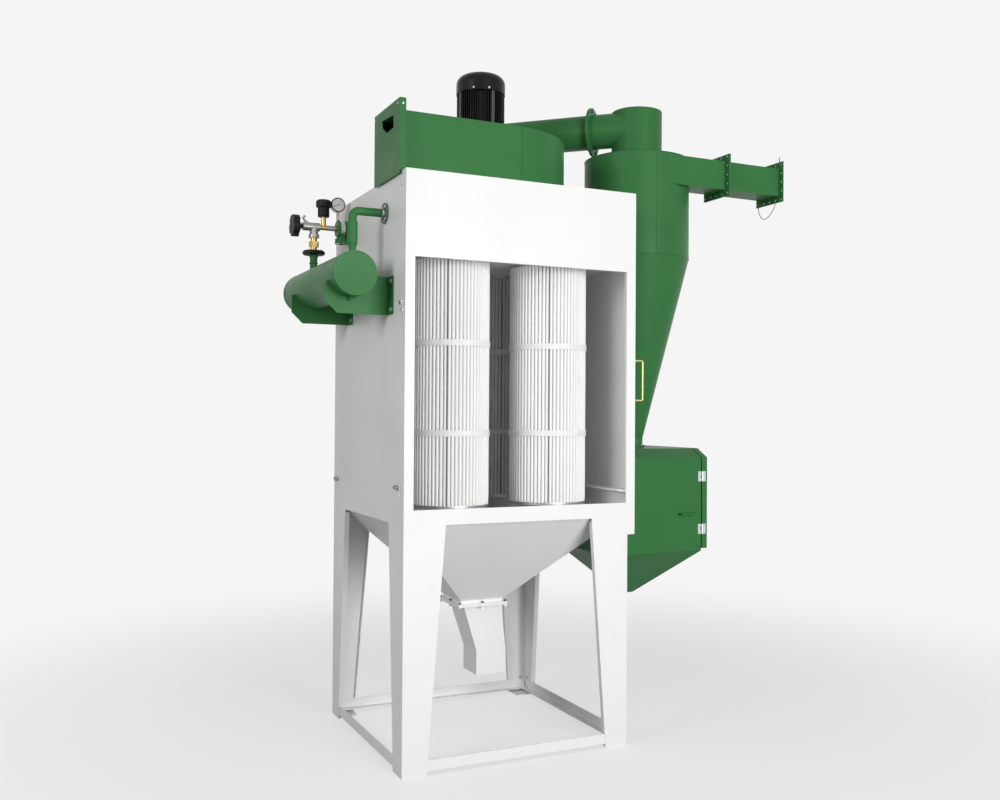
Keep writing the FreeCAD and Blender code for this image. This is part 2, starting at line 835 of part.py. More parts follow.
def build_mount_frame():
    """The folded channel on the stand's right side that carries the cyclone's bin."""
    wall = s.housing_sheet
    width = s.housing_width - s.stand_width
    height = s.housing_base - s.mount_bottom
    frame = new_body("cyclone_mount_frame")
    outline = rectangle(0, s.mount_bottom, s.mount_depth, s.mount_bottom + height)
    pad(frame, "X", s.stand_width, width, outline)
    hollow = rectangle(wall, s.mount_bottom + wall, s.mount_depth - wall, s.housing_base - wall)
    cut(frame, "X", s.stand_width, width - wall, hollow)
    finish(frame, "cyclone_mount_frame")


def build_housing():
    """The filter housing: front frame, side, back and roof sheets."""
    wall = s.housing_sheet
    width = s.housing_width
    depth = s.housing_depth
    eaves = s.housing_top - wall
    front = new_body("housing_front_frame")
    outline = polygon([
        (0, s.housing_base), (s.opening_left, s.housing_base), (s.opening_left, s.opening_top),
        (s.opening_right, s.opening_top), (s.opening_right, s.housing_base), (width, s.housing_base),
        (width, eaves), (0, eaves),
    ])
    pad(front, "Y", 0, wall, outline)
    for edge in (ZERO, width - wall):
        pad(front, "Y", 0, s.corner_return, rectangle(edge, s.housing_base, edge + wall, eaves))
    collar = polygon([
        (s.opening_left - wall, s.housing_base), (s.opening_left, s.housing_base),
        (s.opening_left, s.opening_top), (s.opening_right, s.opening_top), (s.opening_right, s.housing_base),
        (s.opening_right + wall, s.housing_base), (s.opening_right + wall, s.opening_top + wall),
        (s.opening_left - wall, s.opening_top + wall),
    ])
    pad(front, "Y", 0, s.opening_return, collar)
    finish(front, "housing_front_frame")

    run = depth - s.corner_return - wall
    inside = s.stand_width - s.housing_flange
    walls = (("housing_left_wall", ZERO, s.housing_flange), ("housing_right_wall", width, inside))
    for label, face, foot in walls:
        side = new_body(label)
        sheet = wall if label == "housing_left_wall" else -wall
        lip = s.housing_flange if label == "housing_left_wall" else -s.housing_flange
        pad(side, "Y", s.corner_return, run, polygon([
            (face, s.housing_base), (foot, s.housing_base), (foot, s.housing_base + wall),
            (face + sheet, s.housing_base + wall), (face + sheet, eaves - wall), (face + lip, eaves - wall),
            (face + lip, eaves), (face, eaves),
        ]))
        if label == "housing_left_wall":
            cut(side, "X", 0, wall, circle(s.blow_deep, s.blow_level, s.blow_radius))
            cut(side, "X", 0, wall, circle(s.train_deep, s.train_level, s.blow_radius))
        finish(side, label)

    back = new_body("housing_back_wall")
    pad(back, "Y", depth - wall, wall, rectangle(0, s.housing_base, width, eaves))
    shelf = depth - wall - s.housing_flange
    pad(back, "Y", shelf, s.housing_flange, rectangle(
        s.housing_flange, s.housing_base, inside, s.housing_base + wall))
    cut(back, "Y", depth - wall, wall, circle(s.drop_across, s.drop_entry, s.pipe_radius - s.duct_sheet))
    finish(back, "housing_back_wall")

    roof = new_body("housing_roof")
    eye = circle(s.fan_across, s.fan_deep, s.scroll_inlet_radius)
    pad(roof, "Z", eaves, wall, rectangle(0, 0, width, depth), eye)
    finish(roof, "housing_roof")


def cartridge_centres():
    """The four cartridge axes."""
    for across in (s.cartridge_left, s.cartridge_left + s.cartridge_pitch_across):
        for deep in (s.cartridge_front, s.cartridge_front + s.cartridge_pitch_deep):
            yield across, deep


def build_cartridges():
    """The tube sheet and four pleated cartridges, each with its pleats cut round a core."""
    wall = s.housing_sheet
    sheet = new_body("tube_sheet")
    holes = [circle(across, deep, s.tube_hole_radius) for across, deep in cartridge_centres()]
    outline = rectangle(wall, wall, s.housing_width - wall, s.housing_depth - wall)
    pad(sheet, "Z", s.tube_sheet_level, s.tube_sheet_thickness, outline, *holes)
    finish(sheet, "tube_sheet")

    low = s.cartridge_bottom + s.cap_thickness
    length = s.tube_sheet_level - s.cap_thickness - low
    tip = s.cartridge_radius
    root = tip - s.pleat_depth
    media = new_body("front_left_media")
    pad(media, "Z", 0, length, circle(0, 0, tip), circle(0, 0, s.cartridge_bore))
    groove = cut(media, "Z", 0, length, polygon([
        (root, -s.pleat_root / 2), (tip + 1, -s.pleat_mouth / 2),
        (tip + 1, s.pleat_mouth / 2), (root, s.pleat_root / 2),
    ]))
    around(media, groove, s.pleat_count)
    seat(media, s.cartridge_left, s.cartridge_front, low)
    across = s.datum_left + s.cartridge_left + s.cartridge_pitch_across / 2
    deep = s.datum_front + s.cartridge_front + s.cartridge_pitch_deep / 2
    rear = mirrored(media, "rear_left_media", "Y", deep)
    right = [mirrored(item, f"{item.Name}_right", "X", across) for item in (media, rear)]
    grouped("cartridge_media", [media, rear, *right])

    rings = new_body("cartridge_bands")
    outlines = [circle(across, deep, tip + s.band_thickness) for across, deep in cartridge_centres()]
    outlines += [circle(across, deep, tip) for across, deep in cartridge_centres()]
    for level in (ZERO, s.band_pitch):
        pad(rings, "Z", level, s.band_height, *outlines)
    finish(rings, "cartridge_bands", 0, 0, s.lower_band)

    caps = new_body("cartridge_caps")
    outlines = [circle(across, deep, tip) for across, deep in cartridge_centres()]
    pad(caps, "Z", s.cartridge_bottom, s.cap_thickness, *outlines)
    outlines += [circle(across, deep, s.cartridge_bore) for across, deep in cartridge_centres()]
    pad(caps, "Z", s.tube_sheet_level - s.cap_thickness, s.cap_thickness, *outlines)
    finish(caps, "cartridge_caps")


def square(across, deep, side):
    """A square outline round a point."""
    half = side / 2
    return rectangle(across - half, deep - half, across + half, deep + half)


def build_hopper():
    """The hopper shell under the cartridges, its outlet flange and the discharge chute."""
    wall = s.hopper_sheet
    frame = s.stand_sheet
    right = s.stand_width - frame
    back = s.housing_depth - frame
    mouth = rectangle(frame, frame, right, back)
    inner = rectangle(frame + wall, frame + wall, right - wall, back - wall)
    neck = square(s.outlet_across, s.outlet_deep, s.outlet_side)
    bore = square(s.outlet_across, s.outlet_deep, s.outlet_side - wall * 2)
    hopper = new_body("hopper")
    loft(hopper, "Additive", s.outlet_level, neck, s.hopper_break, mouth)
    pad(hopper, "Z", s.hopper_break, s.opening_bottom - s.hopper_break, mouth)
    pad(hopper, "Z", s.neck_level, s.hopper_neck, neck)
    loft(hopper, "Subtractive", s.outlet_level, bore, s.hopper_break, inner)
    cut(hopper, "Z", s.hopper_break, s.opening_bottom - s.hopper_break, inner)
    cut(hopper, "Z", s.neck_level, s.hopper_neck, bore)
    finish(hopper, "hopper")

    rim = square(s.outlet_across, s.outlet_deep, s.outlet_flange_side)
    bolt = (s.outlet_side + s.outlet_flange_side) / 4
    holes = []
    for across in (-1, 0, 1):
        for deep in (-1, 0, 1):
            if across or deep:
                centre = (s.outlet_across + bolt * across, s.outlet_deep + bolt * deep)
                holes.append(circle(*centre, s.outlet_bolt_radius))
    flange = new_body("hopper_outlet_flange")
    low = s.neck_level - s.outlet_flange_thickness
    pad(flange, "Z", low, s.outlet_flange_thickness, rim, bore, *holes)
    finish(flange, "hopper_outlet_flange")

    chute = new_body("discharge_chute")
    top = low - s.chute_flange_thickness
    pad(chute, "Z", top, s.chute_flange_thickness, rim)
    loft(chute, "Additive", s.chute_break, chute_low(ZERO), top, chute_top(ZERO))
    pad(chute, "Z", s.chute_end, s.chute_break - s.chute_end, chute_low(ZERO))
    loft(chute, "Subtractive", s.chute_break, chute_low(wall), top, chute_top(wall))
    cut(chute, "Z", s.chute_end, s.chute_break - s.chute_end, chute_low(wall))
    cut(chute, "Z", top, s.chute_flange_thickness, chute_top(wall))
    cut(chute, "Z", top, s.chute_flange_thickness, *holes)
    finish(chute, "discharge_chute")


def chute_top(inset):
    """The chute's section at its flange, drawn in by an inset."""
    return rectangle(s.chute_top_left + inset, s.chute_front + inset, s.chute_top_right - inset,
                     s.chute_top_back - inset)


def chute_low(inset):
    """The chute's section below its bend, drawn in by an inset."""
    return rectangle(s.chute_low_left + inset, s.chute_front + inset, s.chute_low_right - inset,
                     s.chute_low_back - inset)


def volute(inset):
    """The fan scroll's plan: four arcs that draw in as they go round, and a straight outlet."""
    half = s.scroll_step / 2
    centres = [
        (s.fan_across - half, s.fan_deep - half), (s.fan_across + half, s.fan_deep - half),
        (s.fan_across + half, s.fan_deep + half), (s.fan_across - half, s.fan_deep + half),
    ]
    front = s.scroll_front + inset
    first = centres[0][1] - front
    radii = [first, first - s.scroll_step, first - s.scroll_step * 2, first - s.scroll_step * 3]
    tongue = s.scroll_front + s.scroll_outlet_width - inset
    end = s.scroll_outlet_end

    def draw(sketch):
        base = sketch.GeometryCount
        drop = centres[3][1].value - tongue.value
        last = (radii[3].value ** 2 - drop ** 2) ** 0.5
        turns = [(-90, 0), (0, 90), (90, 180)]
        for centre, radius, (start, stop) in zip(centres, radii, turns):
            arc = Part.Circle(flat(centre), Vector(0, 0, 1), radius.value)
            sketch.addGeometry(Part.ArcOfCircle(arc, math.radians(start), math.radians(stop)), False)
        points = [(centres[3][0].value - radii[3].value, centres[3][1].value)]
        points.append((centres[3][0].value - last, tongue.value))
        points.append((end.value, tongue.value))
        points.append((end.value, front.value))
        points.append((centres[0][0].value, front.value))
        middle = Vector(centres[3][0].value, centres[3][1].value, 0)
        start = flat(points[0])
        stop = flat(points[1])
        between = middle + ((start + stop) * 0.5 - middle).normalize() * radii[3].value
        sketch.addGeometry(Part.ArcOfCircle(start, between, stop), False)
        for begin, finish_point in zip(points[1:4], points[2:5]):
            sketch.addGeometry(Part.LineSegment(flat(begin), flat(finish_point)), False)
        chain = [(base, 2, base + 1, 1), (base + 1, 2, base + 2, 1), (base + 2, 2, base + 3, 1),
                 (base + 3, 2, base + 4, 1), (base + 4, 2, base + 5, 1), (base + 5, 2, base + 6, 1),
                 (base + 6, 2, base, 1)]
        for one, one_end, other, other_end in chain:
            sketch.addConstraint(Sketcher.Constraint("Coincident", one, one_end, other, other_end))
        for number, centre in enumerate(centres):
            pin_point(sketch, base + number, 3, centre)
        pin_point(sketch, base, 1, (centres[0][0], front))
        hold(sketch, distance("DistanceY", base, 2, centres[0][1]), centres[0][1])
        hold(sketch, distance("DistanceX", base + 1, 2, centres[1][0]), centres[1][0])
        hold(sketch, distance("DistanceY", base + 2, 2, centres[2][1]), centres[2][1])
        hold(sketch, distance("DistanceY", base + 3, 2, tongue), tongue)
        pin_point(sketch, base + 4, 2, (end, tongue))
        pin_point(sketch, base + 5, 2, (end, front))

    return draw


def dome(radius, height):
    """The side line of the motor's cowl: upright, round over an elliptical shoulder, then flat."""
    line = [(radius, ZERO)]
    for step in range(COWL_STEPS + 1):
        angle = math.radians(90 * step / COWL_STEPS)
        in_from_edge = s.cowl_shoulder_width * (1 - math.cos(angle))
        down_from_top = s.cowl_shoulder_height * (1 - math.sin(angle))
        line.append((radius - in_from_edge, height - down_from_top))
    return line + [(ZERO, height)]


def build_fan():
    """The roof fan: hollow scroll, outlet plate with its hole, and the motor."""
    wall = s.duct_sheet
    scroll = new_body("fan_scroll")
    pad(scroll, "Z", s.housing_top, s.scroll_height, volute(ZERO))
    cut(scroll, "Z", s.housing_top + wall, s.scroll_height - wall * 2, volute(wall))
    cut(scroll, "Z", s.housing_top, wall, circle(s.fan_across, s.fan_deep, s.scroll_inlet_radius))
    finish(scroll, "fan_scroll")

    far = s.scroll_front + s.scroll_outlet_width
    plate = new_body("fan_outlet_plate")
    left = s.scroll_outlet_end - wall
    front = s.scroll_front - s.plate_overlap
    base = s.housing_top - s.plate_drop
    top = s.housing_top + s.plate_height
    pad(plate, "X", left, wall, rectangle(front, base, far + wall, top))
    for near in (front, far):
        pad(plate, "X", left, s.plate_return, rectangle(near, s.housing_top, near + wall, top))
    near = s.scroll_front + s.plate_hole_front
    low = s.housing_top + s.plate_hole_low
    corners = [(0, 0.05), (0.56, 0), (0.91, 0.47), (1, 1), (0.02, 0.84)]
    cut(plate, "X", left, wall, polygon([
        (near + s.plate_hole_width * deep, low + s.plate_hole_height * high) for deep, high in corners
    ]))
    finish(plate, "fan_outlet_plate")

    deck = s.housing_top + s.scroll_height
    height = s.motor_fin_end - deck
    motor = new_body("motor_body")
    turned(motor, [
        (0, 0), (s.motor_flange_radius, 0), (s.motor_flange_radius, s.motor_flange_thickness),
        (s.motor_core_radius, s.motor_flange_thickness), (s.motor_core_radius, s.motor_core_end - deck),
        (0, s.motor_core_end - deck),
    ])
    half = s.motor_fin_width / 2
    fin = pad(motor, "Z", s.motor_flange_thickness, height - s.motor_flange_thickness,
              rectangle(s.motor_core_radius - s.motor_fin_root, -half, s.motor_fin_radius, half))
    around(motor, fin, s.motor_fin_count)
    finish(motor, "motor_body", s.motor_across, s.fan_deep, deck)

    cowl = new_body("motor_cowl")
    outside = dome(s.cowl_radius, s.cowl_height)
    inside = dome(s.cowl_radius - s.cowl_wall, s.cowl_height - s.cowl_wall)
    turned(cowl, outside + inside[::-1])
    finish(cowl, "motor_cowl", s.motor_across, s.fan_deep, s.cowl_bottom)


def build_cyclone():
    """The cyclone: barrel, cone and head, all open inside."""
    wall = s.duct_sheet
    radius = s.barrel_radius
    height = s.barrel_top - s.barrel_bottom
    barrel = new_body("cyclone_barrel")
    turned(barrel, [
        (radius - wall, 0), (radius, 0), (radius, height), (s.head_radius - wall, height),
        (s.head_radius - wall, height - wall), (radius - wall, height - wall),
    ])
    near = -radius + wall
    sill = height - s.duct_drop - s.duct_side + wall
    cut(barrel, "X", 0, radius, rectangle(
        near, sill, near + s.duct_side - wall * 2, height - s.duct_drop - wall))
    finish(barrel, "cyclone_barrel", s.cyclone_across, s.cyclone_deep, s.barrel_bottom)

    drop = s.barrel_bottom - s.cone_bottom
    small = s.cone_outlet_radius
    cone = new_body("cyclone_cone")
    turned(cone, [
        (small - wall, -s.cone_neck), (s.cone_flange_radius, -s.cone_neck),
        (s.cone_flange_radius, s.cone_flange_thickness - s.cone_neck),
        (small, s.cone_flange_thickness - s.cone_neck),
        (small, 0), (radius, drop), (radius - wall, drop), (small - wall, 0),
    ])
    finish(cone, "cyclone_cone", s.cyclone_across, s.cyclone_deep, s.cone_bottom)

    tall = s.head_top - s.barrel_top
    shell = new_body("head_shell")
    turned(shell, [
        (s.head_radius - wall, 0), (s.head_radius, 0), (s.head_radius, tall), (0, tall),
        (0, tall - wall), (s.head_radius - wall, tall - wall),
    ])
    place(shell, s.cyclone_across, s.cyclone_deep, s.barrel_top)
    bore = rod("head_bore", s.pipe_radius - wall, s.head_radius + wall, s.pipe_start_across,
               s.pipe_start_deep, s.pipe_level, SLANT)
    finish(less("cyclone_head", shell, bore), "cyclone_head")


def build_crossover():
    """The pipe that leaves the cyclone head along its side and runs round to the housing's back."""
    wall = s.duct_sheet
    outer = s.pipe_radius
    inner = outer - wall
    flange = s.pipe_flange_radius
    thick = s.pipe_flange_thickness
    reach = s.pipe_reach

    pipe = new_body("stub_pipe")
    turned(pipe, [
        (inner, 0), (outer, 0), (outer, s.pipe_joint - thick),
        (flange, s.pipe_joint - thick), (flange, s.pipe_joint), (inner, s.pipe_joint),
    ])
    place(pipe, s.pipe_start_across, s.pipe_start_deep, s.pipe_level, SLANT)
    saddle = rod("stub_saddle", s.head_radius, s.head_height * 2, s.cyclone_across, s.cyclone_deep,
                 s.barrel_top)
    finish(less("crossover_stub", pipe, saddle), "crossover_stub")

    pipe = new_body("crossover_pipe")
    turned(pipe, [
        (inner, s.pipe_joint), (flange, s.pipe_joint), (flange, s.pipe_joint + thick),
        (outer, s.pipe_joint + thick), (outer, reach - s.pipe_bend), (inner, reach - s.pipe_bend),
    ])
    finish(pipe, "crossover_pipe", s.pipe_start_across, s.pipe_start_deep, s.pipe_level, SLANT)

    bend = s.pipe_bend
    side = bend / 1.41421356
    top = s.pipe_level - bend
    low = s.drop_entry + bend
    height = top - low
    seam = (inner + outer) / 2
    ring = [(seam, 0), (flange, 0), (flange, thick), (seam, thick)]

    upper = quarter_bend("upper_bend", bend, outer, inner)
    place(upper, s.drop_across + side, s.drop_deep - side, top,
          Rotation(Vector(0, 0, 1), Vector(-1, 1, 0), Vector(-1, -1, 0), "XYZ"))
    upper_ring = new_body("upper_ring")
    turned(upper_ring, ring)
    place(upper_ring, s.drop_across, s.drop_deep, top)
    finish(joined("crossover_upper_bend", [upper, upper_ring]), "crossover_upper_bend")

    run = new_body("crossover_drop")
    turned(run, [
        (inner, 0), (flange, 0), (flange, thick), (outer, thick), (outer, height - thick),
        (flange, height - thick), (flange, height), (inner, height),
    ])
    finish(run, "crossover_drop", s.drop_across, s.drop_deep, low)

    lower = quarter_bend("lower_bend", bend, outer, inner)
    place(lower, s.drop_across, s.drop_deep - bend, low,
          Rotation(Vector(0, 1, 0), Vector(0, 0, -1), Vector(-1, 0, 0), "XYZ"))
    lower_ring = new_body("lower_ring")
    turned(lower_ring, ring)
    place(lower_ring, s.drop_across, s.drop_deep, low - thick)
    entry = new_body("entry_neck")
    reach = s.drop_deep - bend - s.housing_depth
    turned(entry, [
        (inner, 0), (flange, 0), (flange, thick), (outer, thick), (outer, reach), (inner, reach),
    ])
    place(entry, s.drop_across, s.housing_depth, s.drop_entry, ABOUT_X)
    finish(joined("crossover_lower_bend", [lower, lower_ring, entry]), "crossover_lower_bend")


def build_inlet_duct():
    """The square inlet duct in two flanged lengths, tangent to the cyclone barrel."""
    wall = s.duct_sheet
    front = s.cyclone_deep - s.barrel_radius
    back = front + s.duct_side
    top = s.duct_top
    low = top - s.duct_side
    reach = s.duct_flange
    thick = s.duct_flange_thickness
    outer = rectangle(front, low, back, top)
    bore = rectangle(front + wall, low + wall, back - wall, top - wall)
    rim = rectangle(front - reach, low - reach, back + reach, top + reach)
    edge = s.duct_side / 2 + reach - s.duct_bolt_inset
    middle = (front + s.duct_side / 2, low + s.duct_side / 2)
    holes = []
    for across in (-1, -0.5, 0, 0.5, 1):
        for high in (-1, -0.5, 0, 0.5, 1):
            if abs(across) == 1 or abs(high) == 1:
                holes.append(circle(middle[0] + edge * across, middle[1] + edge * high, s.duct_bolt_radius))

    inner = new_body("inlet_duct_inner")
    pad(inner, "X", s.cyclone_across, s.duct_joint - s.cyclone_across, outer, bore)
    pad(inner, "X", s.duct_joint - thick, thick, rim, bore, *holes)
    cut(inner, "Z", low, s.duct_side, circle(s.cyclone_across, s.cyclone_deep, s.barrel_radius))
    finish(inner, "inlet_duct_inner")

    end = new_body("inlet_duct_outer")
    pad(end, "X", s.duct_joint, s.duct_end - s.duct_joint, outer, bore)
    for face in (s.duct_joint, s.duct_end - thick):
        pad(end, "X", face, thick, rim, bore, *holes)
    finish(end, "inlet_duct_outer")


def bin_profile(inset, bottom):
    """The bin's side view with its chamfered front edge, drawn in by an inset."""
    chamfer = s.bin_front + s.bin_chamfer_depth
    shoulder = s.bin_top - s.bin_chamfer_height
    return polygon([
        (s.bin_front + inset, bottom), (s.bin_back - inset, bottom), (s.bin_back - inset, s.bin_top - inset),
        (chamfer + inset * 0.3, s.bin_top - inset), (s.bin_front + inset, shoulder - inset * 0.55),
    ])


def build_bin():
    """The dust bin under the cyclone: body, hopper bottom and the side door's tray."""
    wall = s.duct_sheet
    left = s.housing_width
    width = s.bin_right - left
    body = new_body("bin_body")
    pad(body, "X", left, width, bin_profile(ZERO, s.bin_bottom))
    cut(body, "X", left + wall, width - wall, bin_profile(wall, s.bin_bottom))
    inlet = circle(s.cyclone_across, s.cyclone_deep, s.cone_outlet_radius - wall)
    cut(body, "Z", s.bin_top - wall, wall, inlet)
    finish(body, "bin_body")

    funnel = new_body("bin_hopper")
    tip = s.bin_tip_side
    outer = rectangle(left, s.bin_front, s.bin_right, s.bin_back)
    inner = rectangle(left + wall, s.bin_front + wall, s.bin_right - wall, s.bin_back - wall)
    spout = square(s.bin_tip_across, s.bin_tip_deep, tip)
    bore = square(s.bin_tip_across, s.bin_tip_deep, tip - wall * 2)
    loft(funnel, "Additive", s.bin_tip_level, spout, s.bin_bottom, outer)
    loft(funnel, "Subtractive", s.bin_tip_level, bore, s.bin_bottom, inner)
    finish(funnel, "bin_hopper")

    door = new_body("bin_door")
    near = s.bin_right + s.door_gap
    pad(door, "X", near, s.door_thickness, bin_profile(ZERO, s.door_bottom))
    cut(door, "X", near, s.door_thickness - wall, bin_profile(wall, s.door_bottom + wall))
    finish(door, "bin_door")


def build_hinges():
    """Two butt hinges: leaves and knuckles fixed on the bin, the others on the door."""
    axis_across = s.bin_right + s.door_gap / 2
    axis_deep = s.bin_front - s.hinge_stand_off
    knuckle = s.hinge_knuckle
    third = s.hinge_height / 3
    reach = knuckle + s.hinge_clear
    leaf_front = s.bin_front - s.hinge_leaf_thickness
    fixed = new_body("bin_hinge_fixed")
    moving = new_body("bin_hinge_moving")
    for level in (s.hinge_low, s.hinge_high):
        low = level - s.hinge_height / 2
        pad(fixed, "Z", low, s.hinge_height, rectangle(
            axis_across - reach - s.hinge_leaf, leaf_front, axis_across - reach, s.bin_front))
        for start in (low, low + third * 2):
            pad(fixed, "Z", start, third, circle(axis_across, axis_deep, knuckle))
            pad(fixed, "Z", start, third, rectangle(
                axis_across - reach - 1, leaf_front - 1, axis_across - 1, s.bin_front - 1))
        pad(fixed, "Z", low, s.hinge_height, circle(axis_across, axis_deep, s.hinge_pin))
        pad(moving, "Z", low, s.hinge_height, rectangle(
            axis_across + reach, leaf_front, axis_across + reach + s.hinge_leaf, s.bin_front))
        start = low + third + s.hinge_end_gap
        height = third - s.hinge_end_gap * 2
        pad(moving, "Z", start, height, circle(axis_across, axis_deep, knuckle))
        pad(moving, "Z", start, height, rectangle(
            axis_across + 1, leaf_front - 1, axis_across + reach + 1, s.bin_front - 1))
        cut(moving, "Z", start, height, circle(axis_across, axis_deep, s.hinge_bore))
    finish(fixed, "bin_hinge_fixed")
    finish(moving, "bin_hinge_moving")


def build_handles():
    """The bow handles on the bin's front and on the housing's right edge."""
    radius = s.grip_radius
    bend = s.grip_bend
    out = s.bin_front - s.grip_reach + radius
    start = s.grip_left + radius
    end = s.grip_right - radius
    arm = s.bin_front - out - bend
    finish(joined("bin_grip", [
        rod("grip_left_post", radius, arm, start, out + bend, s.grip_level, ABOUT_X),
        elbow("grip_left_elbow", bend, radius, start + bend, out + bend, s.grip_level, TO_FRONT_LEFT),
        rod("grip_bar", radius, end - start - bend * 2, start + bend, out, s.grip_level, ABOUT_Y),
        elbow("grip_right_elbow", bend, radius, end - bend, out + bend, s.grip_level, TO_FRONT_RIGHT),
        rod("grip_right_post", radius, arm, end, out + bend, s.grip_level, ABOUT_X),
    ]), "bin_grip")

    radius = s.pull_radius
    bend = s.pull_bend
    outer = s.housing_width + s.pull_reach - radius
    low = s.housing_base + s.pull_rise + radius
    high = low + s.pull_length - radius * 2
    arm = outer - bend - s.housing_width
    finish(joined("side_handle", [
        rod("pull_low", radius, arm, s.housing_width, s.pull_front, low, ABOUT_Y),
        elbow("pull_low_elbow", bend, radius, outer - bend, s.pull_front, low + bend, TO_RIGHT_DOWN),
        rod("pull_bar", radius, high - low - bend * 2, outer, s.pull_front, low + bend),
        elbow("pull_high_elbow", bend, radius, outer - bend, s.pull_front, high - bend, TO_RIGHT_UP),
        rod("pull_high", radius, arm, s.housing_width, s.pull_front, high, ABOUT_Y),
    ]), "side_handle")


def build_air_tank():
    """The compressed-air tank on its two cradle brackets."""
    radius = s.tank_radius
    wall = s.tank_wall
    length = s.tank_length
    tank = new_body("air_tank")
    turned(tank, [
        (0, 0), (radius, 0), (radius, length), (0, length), (0, length - wall),
        (radius - wall, length - wall), (radius - wall, wall), (0, wall),
    ])
    ports = [
        (s.blow_across, s.blow_deep, s.blow_riser_radius),
        (s.train_across, s.train_deep, s.train_riser_radius),
    ]
    for across, deep, port in ports:
        cut(tank, "Y", -radius, radius, circle(across - s.tank_across, deep - s.tank_front, port))
    finish(tank, "air_tank", s.tank_across, s.tank_front, s.tank_level, ABOUT_X)

    brackets = []
    for name, near in (("tank_bracket_front", s.bracket_front), ("tank_bracket_rear", s.bracket_rear)):
        bracket = new_body(name)
        sheet = s.bracket_sheet
        pad(bracket, "Y", near, sheet, polygon([
            (s.bracket_chamfer_right, s.bracket_bottom), (0, s.bracket_bottom), (0, s.bracket_top),
            (s.tank_across, s.bracket_top), (s.bracket_left, s.bracket_left_top),
            (s.bracket_left, s.bracket_chamfer_top),
        ]))
        cut(bracket, "Y", near, sheet, circle(s.tank_across, s.tank_level, radius))
        foot = near - s.bracket_foot
        inset = s.bracket_bolt_inset
        pad(bracket, "X", -sheet, sheet, rectangle(foot, s.bracket_bottom, near + sheet, s.bracket_top),
            circle(foot + inset, s.bracket_bottom + inset, s.bracket_bolt_radius),
            circle(foot + inset, s.bracket_top - inset, s.bracket_bolt_radius))
        brackets.append(seat(bracket))
    grouped("tank_brackets", brackets)


def port_level():
    """The level inside the tank's top wall where the risers start."""
    return s.tank_level + s.tank_radius - s.tank_wall


def build_blow_pipe():
    """The front blow pipe from the tank through the left wall, with its wall flange."""
    across = s.blow_across
    deep = s.blow_deep
    base = port_level()
    bend = s.blow_bend
    riser = rod("blow_riser", s.blow_riser_radius, s.blow_sleeve_bottom - base, across, deep, base)
    sleeve = rod("blow_sleeve", s.blow_sleeve_radius, s.blow_sleeve_top - s.blow_sleeve_bottom,
                 across, deep, s.blow_sleeve_bottom)
    upper = rod("blow_upper", s.blow_radius, s.blow_level - bend - s.blow_sleeve_top, across, deep,
                s.blow_sleeve_top)
    level = rod("blow_level_pipe", s.blow_radius, -across - bend, across + bend, deep, s.blow_level, ABOUT_Y)
    corner = elbow("blow_elbow", bend, s.blow_radius, across + bend, deep, s.blow_level - bend, TO_LEFT_UP)
    finish(joined("blow_pipe", [riser, sleeve, upper, corner, level]), "blow_pipe")

    thick = s.wall_flange_thickness
    hub = s.wall_hub_length
    front = new_body("blow_wall_flange")
    turned(front, [
        (s.blow_radius, -hub), (s.wall_hub_radius, -hub), (s.wall_hub_radius, -thick),
        (s.wall_flange_radius, -thick), (s.wall_flange_radius, 0), (s.blow_radius, 0),
    ])
    rear = new_body("pulse_wall_flange")
    turned(rear, [
        (s.blow_radius, -thick), (s.wall_flange_radius, -thick), (s.wall_flange_radius, 0),
        (s.blow_radius, 0),
    ])
    seat(front, 0, deep, s.blow_level, ABOUT_Y)
    seat(rear, 0, s.train_deep, s.train_level, ABOUT_Y)
    grouped("wall_flanges", [front, rear])


